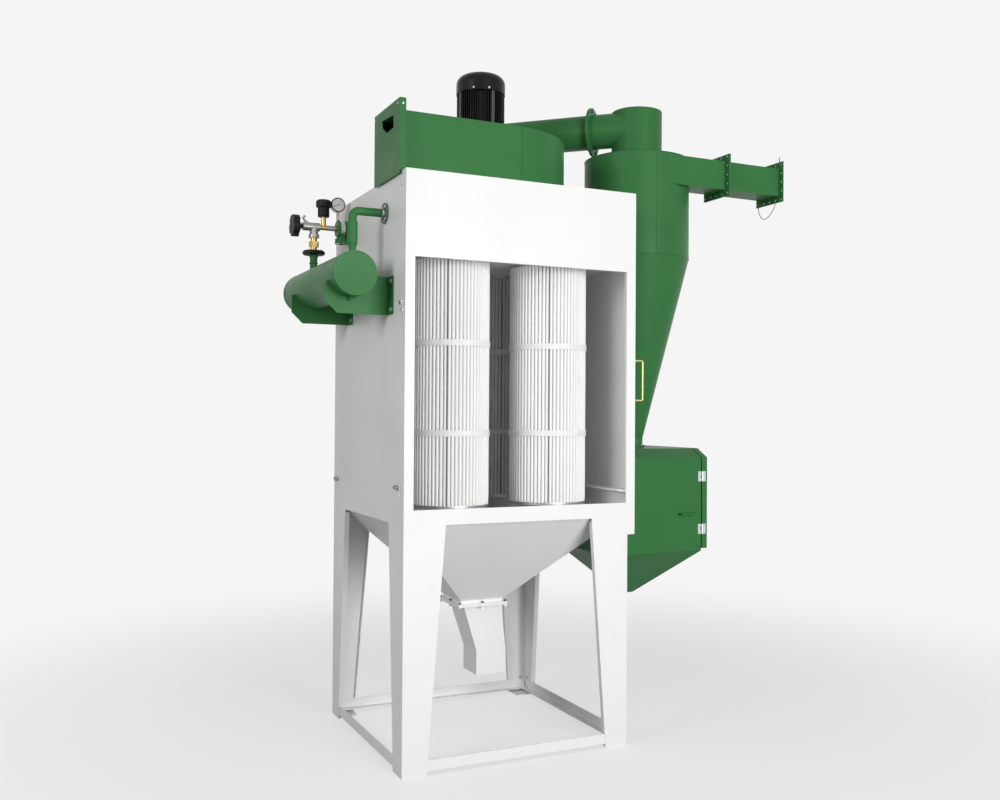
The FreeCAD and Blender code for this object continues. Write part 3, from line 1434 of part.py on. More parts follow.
def build_valve_train():
    """The rear riser with its union, stop valve, tee, pressure switch, pulse valve and gauge."""
    across = s.train_across
    deep = s.train_deep
    level = s.train_level
    base = port_level()
    finish(joined("rear_riser", [
        rod("rear_riser_pipe", s.train_riser_radius, s.disc_bottom - base, across, deep, base),
        rod("rear_riser_collar", s.train_riser_radius + s.riser_collar_reach, s.riser_collar_height,
            across, deep, s.disc_bottom - s.riser_collar_height),
    ]), "rear_riser")

    disc = new_body("riser_disc")
    height = s.disc_top - s.disc_bottom
    slope = s.disc_chamfer
    turned(disc, [
        (0, 0), (s.disc_radius - slope, 0), (s.disc_radius, slope), (s.disc_radius, height - slope),
        (s.disc_radius - slope, height), (0, height),
    ])
    finish(disc, "riser_disc", across, deep, s.disc_bottom)

    union = new_body("riser_union")
    flat_half = s.union_across_flats / 2
    corner = flat_half * 1.1547
    hexagon = [(corner, 0), (corner / 2, flat_half), (-corner / 2, flat_half), (-corner, 0),
               (-corner / 2, -flat_half), (corner / 2, -flat_half)]
    tall = s.union_top - s.disc_top
    pad(union, "Z", 0, tall, circle(0, 0, flat_half * 0.72))
    pad(union, "Z", tall * 0.29, tall * 0.42, polygon(hexagon))
    finish(union, "riser_union", across, deep, s.disc_top)

    span = s.stop_valve_right - s.stop_valve_left
    body = joined("stop_valve_whole", [
        rod("stop_valve_barrel", s.stop_valve_radius, span, s.stop_valve_left, deep, level, ABOUT_Y),
        rod("stop_valve_neck", s.stop_valve_neck_radius, level - s.union_top, across, deep, s.union_top),
        rod("stop_valve_collar", s.stop_valve_neck_radius + s.stop_valve_collar_reach,
            s.stop_valve_collar_height, across, deep, s.union_top),
    ])
    bore = rod("stop_valve_bore", s.stem_bore, s.stem_bore_depth, s.stop_valve_left, deep, level, ABOUT_Y)
    finish(less("stop_valve", body, bore), "stop_valve")

    wheel = new_body("valve_handwheel")
    thick = s.wheel_right - s.wheel_left
    pad(wheel, "Z", 0, thick, circle(0, 0, s.wheel_radius))
    notch = circle(-s.wheel_radius - s.wheel_scoop_radius / 2, 0, s.wheel_scoop_radius)
    scoop = cut(wheel, "Z", 0, thick, notch)
    around(wheel, scoop, s.wheel_lobes)
    pad(wheel, "Z", thick, s.wheel_hub_length, circle(0, 0, s.wheel_hub_radius))
    pad(wheel, "Z", thick + s.wheel_hub_length, s.wheel_gap - s.wheel_hub_length + s.stem_length,
        circle(0, 0, s.stem_radius))
    finish(wheel, "valve_handwheel", s.wheel_left, deep, level, ABOUT_Y)

    run = s.tee_right - s.stop_valve_right
    tee = joined("air_tee", [
        rod("tee_run", s.tee_radius, run, s.stop_valve_right, deep, level, ABOUT_Y),
        rod("tee_branch", s.tee_radius, s.tee_top - level, s.tee_across, deep, level),
    ])
    finish(tee, "air_tee")

    switch = new_body("pressure_switch")
    body_height = s.switch_body_height
    cap_height = body_height + s.switch_cap_height
    slope = s.switch_chamfer
    waist = s.switch_body_radius
    brim = s.switch_cap_radius
    turned(switch, [
        (0, 0), (waist - slope, 0), (waist, slope), (waist, body_height),
        (brim, body_height + s.switch_cap_slope), (brim, cap_height - slope * 2),
        (brim - slope * 2, cap_height), (0, cap_height),
    ])
    finish(switch, "pressure_switch", s.tee_across, deep, s.tee_top)

    valve = new_body("pulse_valve_flanges")
    edge = s.pulse_flange_thickness
    waist = edge + s.pulse_waist_length
    rear = waist + s.pulse_cover_length
    turned(valve, [
        (0, 0), (s.pulse_flange_radius - s.pulse_chamfer, 0), (s.pulse_flange_radius, s.pulse_chamfer),
        (s.pulse_flange_radius, edge),
        (s.pulse_waist_radius, edge), (s.pulse_waist_radius, waist), (s.pulse_flange_radius, waist),
        (s.pulse_flange_radius, rear), (s.blow_radius, rear), (s.blow_radius, -s.pulse_left),
        (0, -s.pulse_left),
    ])
    place(valve, s.pulse_left, deep, level, ABOUT_Y)
    middle = s.pulse_left + (edge + waist) / 2
    cap = level - s.pulse_bonnet_drop
    neck = rod("pulse_neck", s.pulse_neck_radius, s.pulse_bonnet_drop, middle, deep, cap)
    bonnet = rod("pulse_bonnet", s.pulse_bonnet_radius, s.pulse_bonnet_height, middle, deep,
                 cap - s.pulse_bonnet_height)
    finish(joined("pulse_valve", [valve, neck, bonnet]), "pulse_valve")

    gauge = joined("gauge_on_stem", [
        rod("gauge_case", s.gauge_radius, s.gauge_depth, s.gauge_across, deep - s.gauge_depth / 2,
            s.gauge_level, ABOUT_X),
        rod("gauge_stem", s.gauge_stem_radius, s.gauge_level - s.pulse_waist_radius - level,
            s.gauge_across, deep, level + s.pulse_waist_radius),
    ])
    saddle = rod("gauge_saddle", s.pulse_flange_radius, edge * 3, s.pulse_left - edge, deep, level, ABOUT_Y)
    finish(less("pressure_gauge", gauge, saddle), "pressure_gauge")


def check_and_export():
    """Stop on any broken feature, then write each piece to its own file."""
    doc.recompute()
    for item in doc.Objects:
        broken = [word for word in item.State if word in ("Invalid", "Error")]
        if broken:
            raise RuntimeError(f"{item.Name} ({item.Label}): {item.State}")
    for feature in cuts:
        before = feature.BaseFeature.Shape.Volume
        if not feature.Shape.Volume < before - 1:
            raise RuntimeError(f"{feature.Name} cuts nothing")
    for piece in pieces:
        shape = piece.Shape
        if shape.isNull() or not shape.isValid() or not shape.Solids:
            raise RuntimeError(f"{piece.Label} has no valid shape")
        shape.exportStep(f"parts/{piece.Label}.step")
        box = shape.BoundBox
        print(f"{piece.Label}: {len(shape.Solids)} solids, {box.XMin:.1f} {box.YMin:.1f} {box.ZMin:.1f}"
              f" to {box.XMax:.1f} {box.YMax:.1f} {box.ZMax:.1f}")


def main():
    """Build every group and write the files."""
    build_legs()
    build_stand_rails()
    build_mount_frame()
    build_housing()
    build_cartridges()
    build_hopper()
    build_fan()
    build_cyclone()
    build_crossover()
    build_inlet_duct()
    build_bin()
    build_hinges()
    build_handles()
    build_air_tank()
    build_blow_pipe()
    build_valve_train()
    check_and_export()


main()
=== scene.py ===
"""Looks of the pleated filter dust collector: finishes, fittings, floor, lamps and camera.

Lengths are in millimetres from the housing's front left corner on the floor unless a name ends in _m,
and at() carries a point from there to the machine's frame in metres.
"""

import json
import logging
import math
from collections.abc import Iterable, Sequence
from dataclasses import dataclass, field
from enum import Enum

import bpy
from mathutils import Matrix, Vector


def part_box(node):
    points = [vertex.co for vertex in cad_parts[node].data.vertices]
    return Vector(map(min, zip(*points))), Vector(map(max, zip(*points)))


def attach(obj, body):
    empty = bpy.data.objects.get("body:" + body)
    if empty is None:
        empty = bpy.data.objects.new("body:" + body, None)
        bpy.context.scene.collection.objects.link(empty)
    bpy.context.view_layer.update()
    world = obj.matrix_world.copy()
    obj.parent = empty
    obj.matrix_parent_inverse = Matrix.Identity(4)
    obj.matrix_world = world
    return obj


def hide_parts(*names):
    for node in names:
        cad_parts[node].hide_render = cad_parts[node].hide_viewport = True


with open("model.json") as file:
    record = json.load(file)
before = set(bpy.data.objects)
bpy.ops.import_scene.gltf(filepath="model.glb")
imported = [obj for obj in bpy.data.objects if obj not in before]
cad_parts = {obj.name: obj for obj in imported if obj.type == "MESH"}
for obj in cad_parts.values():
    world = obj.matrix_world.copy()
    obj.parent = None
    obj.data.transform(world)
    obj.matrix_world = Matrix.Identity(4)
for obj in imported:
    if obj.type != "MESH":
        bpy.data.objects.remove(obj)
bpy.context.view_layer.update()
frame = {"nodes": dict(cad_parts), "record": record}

LOG = logging.getLogger("dust_collector")
MM = 0.001
HOUSING_CORNER_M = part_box("housing_front_frame")[0]
DATUM = Vector((HOUSING_CORNER_M[0] / MM, HOUSING_CORNER_M[1] / MM, 0.0))
LEFT = Vector((-1, 0, 0))
RIGHT = Vector((1, 0, 0))
FRONT = Vector((0, -1, 0))
BACK = Vector((0, 1, 0))
UP = Vector((0, 0, 1))
DOWN = Vector((0, 0, -1))
Line = tuple[tuple[float, float], ...]


class Rider(Enum):
    """The bodies that a piece can ride on."""

    MACHINE = "machine"
    DOOR = "bin_door"
    WHEEL = "valve_handwheel"


def at(across: float, deep: float, level: float) -> Vector:
    """Carry a point from the housing's corner to the machine's frame.

    Args:
        across: Millimetres to the right along the front.
        deep: Millimetres towards the back.
        level: Millimetres above the floor.

    Returns:
        The point in metres.
    """
    return (DATUM + Vector((across, deep, level))) * MM


def span(node: str) -> tuple[Vector, Vector]:
    """Where a CAD node lies.

    Args:
        node: The node's name.

    Returns:
        Its lowest and highest corners in millimetres from the housing's corner.
    """
    low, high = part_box(node)
    return Vector(low) / MM - DATUM, Vector(high) / MM - DATUM


def middle(node: str) -> Vector:
    """The middle of a CAD node's box, in millimetres from the housing's corner."""
    low, high = span(node)
    return (low + high) / 2


def linear(hex_code: str) -> tuple[float, float, float, float]:
    """Turn an sRGB hex colour into linear values.

    Args:
        hex_code: Six hex digits.

    Returns:
        Red, green, blue and alpha.
    """
    values = []
    for start in (0, 2, 4):
        level = int(hex_code[start:start + 2], 16) / 255
        values.append(level / 12.92 if level <= 0.04045 else ((level + 0.055) / 1.055) ** 2.4)
    return values[0], values[1], values[2], 1.0


def add_node(
    tree: bpy.types.NodeTree,
    kind: str,
    inputs: dict[int | str, object] | None = None,
    **settings: object,
) -> bpy.types.Node:
    """Add a node with its settings, its input values and the links that feed it.

    Args:
        tree: The node tree it goes into.
        kind: The node's type name.
        inputs: By socket name or number, a value to set or what to link from: a socket, a node for its
            first output, or a list of nodes where the socket joins several.
        settings: The node's own properties.

    Returns:
        The new node.
    """
    node = tree.nodes.new(kind)
    for name, value in settings.items():
        setattr(node, name, value)
    for key, value in (inputs or {}).items():
        for feed in value if isinstance(value, list) else [value]:
            if isinstance(feed, bpy.types.Node):
                tree.links.new(feed.outputs[0], node.inputs[key])
            elif isinstance(feed, bpy.types.NodeSocket):
                tree.links.new(feed, node.inputs[key])
            else:
                node.inputs[key].default_value = feed
    return node


@dataclass(frozen=True)
class Finish:
    """A surface: its colour, its gloss and the grain that its making left."""

    name: str
    colour: str
    shade: str
    roughness: float
    metallic: float = 0.0
    ior: float = 1.5
    coat: float = 0.0
    sheen: float = 0.0
    specular: float = 0.5
    patch_mm: float = 300.0
    patch_share: float = 0.5
    grain_mm: float = 3.0
    grain_height_mm: float = 0.05
    stretch: tuple[float, float, float] = (1.0, 1.0, 1.0)
    gloss_spread: float = 0.06
    patch_range: tuple[float, float] = (0.35, 0.7)
    gloss_range: tuple[float, float] = (0.3, 0.7)
    bump_strength: float = 0.6

    def material(self) -> bpy.types.Material:
        """Make the material once and hand out the same one after that."""
        known = bpy.data.materials.get(self.name)
        if known:
            return known
        material = bpy.data.materials.new(self.name)
        material.use_nodes = True
        material.diffuse_color = linear(self.colour)
        tree = material.node_tree
        tree.nodes.clear()
        self.draw(tree)
        return material

    def draw(self, tree: bpy.types.NodeTree) -> None:
        """Draw faint patches of shade, an uneven gloss and a fine grain."""
        place = add_node(tree, "ShaderNodeTexCoord")
        drawn = add_node(tree, "ShaderNodeMapping", {"Scale": self.stretch, 0: place.outputs["Object"]})
        patch = add_node(
            tree, "ShaderNodeTexNoise",
            {"Scale": 1000 / self.patch_mm, "Detail": 3.0, "Vector": drawn},
        )
        low, high = self.patch_range
        amount = add_node(
            tree, "ShaderNodeMapRange", {1: low, 2: high, 3: 0.0, 4: self.patch_share, 0: patch}
        )
        tint = add_node(
            tree, "ShaderNodeMix",
            {6: linear(self.colour), 7: linear(self.shade), 0: amount},
            data_type="RGBA",
        )
        gloss = add_node(
            tree, "ShaderNodeMapRange",
            {
                1: self.gloss_range[0],
                2: self.gloss_range[1],
                3: self.roughness - self.gloss_spread,
                4: self.roughness + self.gloss_spread,
                0: patch,
            },
        )
        grain = add_node(
            tree, "ShaderNodeTexNoise",
            {"Scale": 1000 / self.grain_mm, "Detail": 2.0, "Vector": drawn},
        )
        bump = add_node(
            tree, "ShaderNodeBump",
            {
                "Strength": self.bump_strength,
                "Distance": self.grain_height_mm * MM,
                "Height": grain,
            },
        )
        shader = add_node(
            tree, "ShaderNodeBsdfPrincipled",
            {
                "Metallic": self.metallic,
                "IOR": self.ior,
                "Specular IOR Level": self.specular,
                "Coat Weight": self.coat,
                "Sheen Weight": self.sheen,
                "Base Color": tint.outputs[2],
                "Roughness": gloss,
                "Normal": bump,
            },
        )
        add_node(tree, "ShaderNodeOutputMaterial", {0: shader})


# Polyester powder coat on sheet steel: even white, low gloss, with a faint orange peel of about 2 mm
WHITE_POWDER = Finish("powder_coat_white", "efefee", "e9e9e9", 0.45, grain_mm=2.5, grain_height_mm=0.03)
# Alkyd machine enamel sprayed on welded sheet: satin green with long soft reflections
GREEN_ENAMEL = Finish(
    "machine_enamel_green", "3a7642", "346c3b", 0.38, specular=0.1, patch_mm=180, grain_mm=4,
    grain_height_mm=0.05,
)
# Pleated spunbond polyester media: dull off-white cloth, with fibres that run along the pleats
POLYESTER_MEDIA = Finish(
    "spunbond_polyester_media", "fafaf9", "f0f0ee", 0.85, sheen=0.1, patch_mm=90, grain_mm=1.5,
    grain_height_mm=0.1, stretch=(1.0, 1.0, 0.3), gloss_spread=0.05,
)
# Woven polyester strap round the pleats
POLYESTER_STRAP = Finish(
    "woven_polyester_strap", "f2f2f0", "e2e2e0", 0.8, patch_mm=30, grain_mm=2, grain_height_mm=0.2,
)
# Gloss enamel on cast aluminium: the motor's black, with a sandy casting grain under the paint
BLACK_ENAMEL = Finish(
    "motor_enamel_black", "0b0b0d", "131316", 0.28, specular=0.2, grain_mm=1.2, grain_height_mm=0.08,
)
# Glass-filled nylon moulding: matt black
BLACK_MOULDING = Finish(
    "nylon_moulding_black", "0d0d0e", "151516", 0.5, specular=0.2, grain_mm=0.8, grain_height_mm=0.04,
)
# Machined brass, unlacquered
BRASS = Finish("machined_brass", "bfa468", "a08448", 0.34, metallic=1.0, patch_mm=12, grain_mm=0.6)
# Nickel-plated brass castings of the air fittings
NICKEL = Finish(
    "nickel_plated_casting", "a9a8a4", "8d8c88", 0.45, metallic=1.0, patch_mm=15, grain_mm=1.5,
)
# Bright zinc plate on steel screws, hinges and clamps
ZINC = Finish("bright_zinc_plate", "cdd0d2", "aeb2b5", 0.36, metallic=1.0, patch_mm=10, grain_mm=1.0)
# Dark zinc on the latch wires, the earth lead and its stud, and the motor's and hopper's bolts
DARK_ZINC = Finish("dark_zinc_plate", "6e7072", "4c4e50", 0.4, metallic=1.0, patch_mm=8, grain_mm=1.0)
# Yellow passivated zinc on the bow handle
YELLOW_ZINC = Finish(
    "yellow_passivated_zinc", "d9c98a", "c8a94e", 0.34, metallic=0.85, patch_mm=25, grain_mm=1.0,
)
# Printed aluminium dial behind the gauge's glass
DIAL_WHITE = Finish("gauge_dial_white", "f3f3f1", "ececea", 0.3, coat=0.5, patch_mm=40, grain_mm=1.0)
# Polyurethane glue down the pleat pack's seam, grey with dust
SEAM_GLUE = Finish("polyurethane_seam_glue", "6f6f6d", "5e5e5c", 0.7, patch_mm=40, grain_mm=1.0)
# Sand-cast aluminium, left bare on the pulse valve's body
CAST_ALUMINIUM = Finish(
    "sand_cast_aluminium", "c9cbc9", "b2b5b3", 0.5, metallic=0.7, patch_mm=20, grain_mm=1.5,
)
# Galvanized malleable iron of the wall flanges, gone dull
DULL_IRON = Finish(
    "galvanized_malleable_iron", "6b7a70", "55625a", 0.5, metallic=0.6, patch_mm=25, grain_mm=1.5,
)
# Mid grey on the motor's ribs: a painted highlight standing in for the lamp's reflection on the black
# enamel
PAINTED_HIGHLIGHT_GREY = Finish(
    "motor_enamel_rib", "5d5e60", "4a4b4d", 0.3, patch_mm=40, grain_mm=1.0, grain_height_mm=0.03,
)


SLOT_FINISHES = {
    "white": WHITE_POWDER,
    "green": GREEN_ENAMEL,
    "media": POLYESTER_MEDIA,
    "band": POLYESTER_STRAP,
    "black": BLACK_ENAMEL,
    "plastic": BLACK_MOULDING,
    "brass": BRASS,
    "steel": NICKEL,
    "zinc": ZINC,
}


OWN_FINISHES = {"wall_flanges": DULL_IRON, "side_handle": YELLOW_ZINC}


def dress(finish: Finish, *names: str) -> None:
    """Give CAD nodes a finish.

    Args:
        finish: The finish.
        names: The nodes' names.
    """
    for name in names:
        node = frame["nodes"][name]
        node.data.materials.clear()
        node.data.materials.append(finish.material())


@dataclass
class Grower:
    """A Geometry Nodes tree that is filled in, run once on a start mesh and kept as a plain mesh."""

    name: str
    sockets: dict[str, str]
    tree: bpy.types.NodeTree = field(init=False)
    start: bpy.types.Node = field(init=False)

    def __post_init__(self) -> None:
        """Make the tree with its geometry and its named inputs."""
        self.tree = bpy.data.node_groups.new(self.name, "GeometryNodeTree")
        panel = self.tree.interface
        panel.new_socket("Geometry", in_out="INPUT", socket_type="NodeSocketGeometry")
        for name, kind in self.sockets.items():
            panel.new_socket(name, in_out="INPUT", socket_type=kind)
        panel.new_socket("Material", in_out="INPUT", socket_type="NodeSocketMaterial")
        panel.new_socket("Geometry", in_out="OUTPUT", socket_type="NodeSocketGeometry")
        self.start = self.tree.nodes.new("NodeGroupInput")

    def close(self, last: bpy.types.Node) -> None:
        """Realize what was instanced, set the material and end the tree."""
        real = add_node(self.tree, "GeometryNodeRealizeInstances", {0: last})
        coat = self.start.outputs["Material"]
        coated = add_node(self.tree, "GeometryNodeSetMaterial", {0: real, "Material": coat})
        add_node(self.tree, "NodeGroupOutput", {0: coated})

    def grow(
        self, piece: str, mesh: bpy.types.Mesh, finish: Finish, rider: Rider, **values: float
    ) -> bpy.types.Object:
        """Run the tree on a mesh and keep the result as a plain piece of the machine.

        Args:
            piece: The new piece's name.
            mesh: The start mesh.
            finish: The piece's finish.
            rider: The body it rides on.
            values: The tree's inputs by socket name, with underscores for spaces.

        Returns:
            The finished piece.
        """
        source = bpy.data.objects.new(f"{piece}_start", mesh)
        bpy.context.scene.collection.objects.link(source)
        modifier = source.modifiers.new("grow", "NODES")
        modifier.node_group = self.tree
        for item in self.tree.interface.items_tree:
            key = item.name.replace(" ", "_")
            if item.in_out == "INPUT" and key in values:
                modifier[item.identifier] = values[key]
            if item.in_out == "INPUT" and item.name == "Material":
                modifier[item.identifier] = finish.material()
        source.update_tag()
        evaluated = source.evaluated_get(bpy.context.evaluated_depsgraph_get())
        grown = bpy.data.meshes.new_from_object(evaluated)
        source.modifiers.clear()
        bpy.data.objects.remove(source)
        return settle(piece, grown, finish, rider)


def settle(piece: str, mesh: bpy.types.Mesh, finish: Finish, rider: Rider) -> bpy.types.Object:
    """Put a finished mesh into the scene as a piece of one body.

    Args:
        piece: The piece's name.
        mesh: Its mesh, in the machine's frame.
        finish: Its finish.
        rider: The body it rides on.

    Returns:
        The piece.
    """
    mesh.name = piece
    mesh.materials.clear()
    mesh.materials.append(finish.material())
    item = bpy.data.objects.new(piece, mesh)
    bpy.context.scene.collection.objects.link(item)
    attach(item, rider.value)
    LOG.info("%s: %d faces on %s", piece, len(mesh.polygons), rider.value)
    return item


def point_mesh(name: str, points: Iterable[tuple[Vector, Vector]]) -> bpy.types.Mesh:
    """A mesh of loose points that each carry the way they face.

    Args:
        name: The mesh's name.
        points: Places in metres and directions.

    Returns:
        The mesh, with the directions in its attribute aim.
    """
    pairs = list(points)
    mesh = bpy.data.meshes.new(name)
    mesh.from_pydata([place for place, _ in pairs], [], [])
    aim = mesh.attributes.new("aim", "FLOAT_VECTOR", "POINT")
    for number, (_, way) in enumerate(pairs):
        aim.data[number].vector = way
    return mesh


def path_mesh(name: str, paths: Iterable[tuple[Sequence[Vector], bool]]) -> bpy.types.Mesh:
    """A mesh of loose edges along paths.

    Args:
        name: The mesh's name.
        paths: Each path's points in metres, and whether it closes on itself.

    Returns:
        The mesh.
    """
    places: list[Vector] = []
    edges: list[tuple[int, int]] = []
    for points, closed in paths:
        first = len(places)
        places.extend(points)
        edges.extend((number, number + 1) for number in range(first, len(places) - 1))
        if closed:
            edges.append((len(places) - 1, first))
    mesh = bpy.data.meshes.new(name)
    mesh.from_pydata(places, edges, [])
    return mesh


def ring_places(
    centre: Vector, reach: float, axis: Vector, count: int, first: float = 0.0
) -> list[Vector]:
    """Places set evenly round an axis.

    Args:
        centre: The ring's centre, in millimetres from the housing's corner.
        reach: How far each place is from it.
        axis: The ring's axis.
        count: How many places.
        first: The first one's angle in degrees.

    Returns:
        The places, in millimetres from the housing's corner.
    """
    turn = UP.rotation_difference(axis)
    places = []
    for number in range(count):
        angle = math.radians(first + 360 * number / count)
        spoke = Vector((reach * math.cos(angle), reach * math.sin(angle), 0))
        places.append(centre + turn @ spoke)
    return places


def circle_path(centre: Vector, radius: float, normal: Vector, steps: int = 72) -> list[Vector]:
    """Points round a circle.

    Args:
        centre: Its centre, in millimetres from the housing's corner.
        radius: Its radius in millimetres.
        normal: The circle's axis.
        steps: How many points.

    Returns:
        The points in metres.
    """
    return [at(*place) for place in ring_places(centre, radius, normal, steps)]


def lathe(
    name: str, line: Sequence[tuple[float, float]], centre: Vector, axis: Vector, steps: int = 40
) -> bpy.types.Mesh:
    """Turn a side line of radius and height round an axis into a closed mesh.

    Args:
        name: The mesh's name.
        line: Radius and height of each corner, from the low pole to the high one.
        centre: Where height nought lies, in millimetres from the housing's corner.
        axis: The way the height runs.
        steps: Sides round the axis.

    Returns:
        The mesh in metres, in the machine's frame.
    """
    turn = UP.rotation_difference(axis)
    places: list[Vector] = []
    rings: list[list[int]] = []
    for radius, height in line:
        count = steps if radius > 0 else 1
        ring = []
        for step in range(count):
            angle = 2 * math.pi * step / steps
            corner = Vector((radius * math.cos(angle), radius * math.sin(angle), height))
            ring.append(len(places))
            places.append(at(*(centre + turn @ corner)))
        rings.append(ring)
    faces = []
    for low, high in zip(rings, rings[1:]):
        for step in range(steps):
            after = (step + 1) % steps
            under = (low[step % len(low)], low[after % len(low)])
            over = (high[after % len(high)], high[step % len(high)])
            faces.append(tuple(dict.fromkeys(under + over)))
    mesh = bpy.data.meshes.new(name)
    mesh.from_pydata(places, [], [face for face in faces if len(face) > 2])
    mesh.update()
    return mesh


def slab(name: str, low: Vector, high: Vector, corner: float = 1.0) -> bpy.types.Mesh:
    """A block with its upright edges cut off.

    Args:
        name: The mesh's name.
        low: Lowest corner, in millimetres from the housing's corner.
        high: Highest corner.
        corner: How much each upright edge loses.

    Returns:
        The mesh in metres, in the machine's frame.
    """
    outline = [
        (low.x + corner, low.y), (high.x - corner, low.y),
        (high.x, low.y + corner), (high.x, high.y - corner),
        (high.x - corner, high.y), (low.x + corner, high.y),
        (low.x, high.y - corner), (low.x, low.y + corner),
    ]
    count = len(outline)
    places = [at(x, y, level) for level in (low.z, high.z) for x, y in outline]
    faces: list[tuple[int, ...]] = [tuple(reversed(range(count))), tuple(range(count, 2 * count))]
    for number in range(count):
        after = (number + 1) % count
        faces.append((number, after, count + after, count + number))
    mesh = bpy.data.meshes.new(name)
    mesh.from_pydata(places, [], faces)
    mesh.update()
    return mesh


def merged(name: str, meshes: Iterable[bpy.types.Mesh]) -> bpy.types.Mesh:
    """Lay several meshes together as one.

    Args:
        name: The new mesh's name.
        meshes: What it is made of.

    Returns:
        The new mesh.
    """
    places: list[Vector] = []
    faces: list[tuple[int, ...]] = []
    for mesh in meshes:
        first = len(places)
        places.extend(vertex.co.copy() for vertex in mesh.vertices)
        faces.extend(tuple(first + corner for corner in face.vertices) for face in mesh.polygons)
    whole = bpy.data.meshes.new(name)
    whole.from_pydata(places, [], faces)
    whole.update()
    return whole


def bolt_grower() -> Grower:
    """A tree that sets a hexagon head on a washer at each point, facing along the point's aim."""
    grower = Grower("hexagon_bolts", {
        "Across Flats": "NodeSocketFloat", "Head Height": "NodeSocketFloat",
        "Washer Radius": "NodeSocketFloat", "Washer Height": "NodeSocketFloat",
    })
    net = grower.tree
    size = grower.start.outputs
    flats_to_corners = 1 / math.sqrt(3)
    corner = add_node(
        net, "ShaderNodeMath", {0: size["Across Flats"], 1: flats_to_corners}, operation="MULTIPLY"
    )
    half_head = add_node(net, "ShaderNodeMath", {0: size["Head Height"], 1: 0.5}, operation="MULTIPLY")
    half_washer = add_node(
        net, "ShaderNodeMath", {0: size["Washer Height"], 1: 0.5}, operation="MULTIPLY"
    )
    lift = add_node(net, "ShaderNodeMath", {0: size["Washer Height"], 1: half_head}, operation="ADD")
    washer = add_node(
        net, "GeometryNodeMeshCylinder",
        {"Vertices": 14, "Radius": size["Washer Radius"], "Depth": size["Washer Height"]},
    )
    head = add_node(
        net, "GeometryNodeMeshCylinder", {"Vertices": 6, "Radius": corner, "Depth": size["Head Height"]}
    )
    seat_shift = add_node(net, "ShaderNodeCombineXYZ", {"Z": half_washer})
    head_shift = add_node(net, "ShaderNodeCombineXYZ", {"Z": lift})
    seated = add_node(net, "GeometryNodeTransform", {0: washer, "Translation": seat_shift})
    raised = add_node(net, "GeometryNodeTransform", {0: head, "Translation": head_shift})
    bolt = add_node(net, "GeometryNodeJoinGeometry", {0: [raised, seated]})
    aim = add_node(net, "GeometryNodeInputNamedAttribute", {"Name": "aim"}, data_type="FLOAT_VECTOR")
    facing = add_node(net, "FunctionNodeAlignRotationToVector", {"Vector": aim}, axis="Z")
    angle = add_node(
        net, "FunctionNodeRandomValue", {2: 0.0, 3: math.pi / 3, "Seed": 7}, data_type="FLOAT"
    )
    spin = add_node(
        net, "FunctionNodeAxisAngleToRotation", {"Axis": (0, 0, 1), "Angle": angle.outputs[1]}
    )
    turned = add_node(net, "FunctionNodeRotateRotation", {0: facing, 1: spin}, rotation_space="LOCAL")
    spread = add_node(
        net, "GeometryNodeInstanceOnPoints",
        {"Points": size["Geometry"], "Instance": bolt, "Rotation": turned},
    )
    grower.close(spread)
    return grower


def bar_grower() -> Grower:
    """A tree that runs a round bar along each path, plain for a wire and rippled for a weld bead."""
    grower = Grower("bar_along_path", {
        "Radius": "NodeSocketFloat", "Ripple": "NodeSocketFloat", "Step": "NodeSocketFloat",
        "Sides": "NodeSocketInt",
    })
    net = grower.tree
    size = grower.start.outputs
    line = add_node(net, "GeometryNodeMeshToCurve", {0: size["Geometry"]})
    even = add_node(net, "GeometryNodeResampleCurve", {0: line, "Length": size["Step"]}, mode="LENGTH")
    swing = add_node(net, "FunctionNodeRandomValue", {2: -1.0, 3: 1.0, "Seed": 11}, data_type="FLOAT")
    swell = add_node(
        net, "ShaderNodeMath", {0: swing.outputs[1], 1: size["Ripple"]}, operation="MULTIPLY"
    )
    share = add_node(net, "ShaderNodeMath", {0: 1.0, 1: swell}, operation="ADD")
    radius = add_node(net, "ShaderNodeMath", {0: size["Radius"], 1: share}, operation="MULTIPLY")
    ring = add_node(
        net, "GeometryNodeCurvePrimitiveCircle", {"Radius": 1.0, "Resolution": size["Sides"]}
    )
    swept = add_node(
        net, "GeometryNodeCurveToMesh",
        {0: even, "Profile Curve": ring, "Scale": radius, "Fill Caps": True},
    )
    grower.close(swept)
    return grower


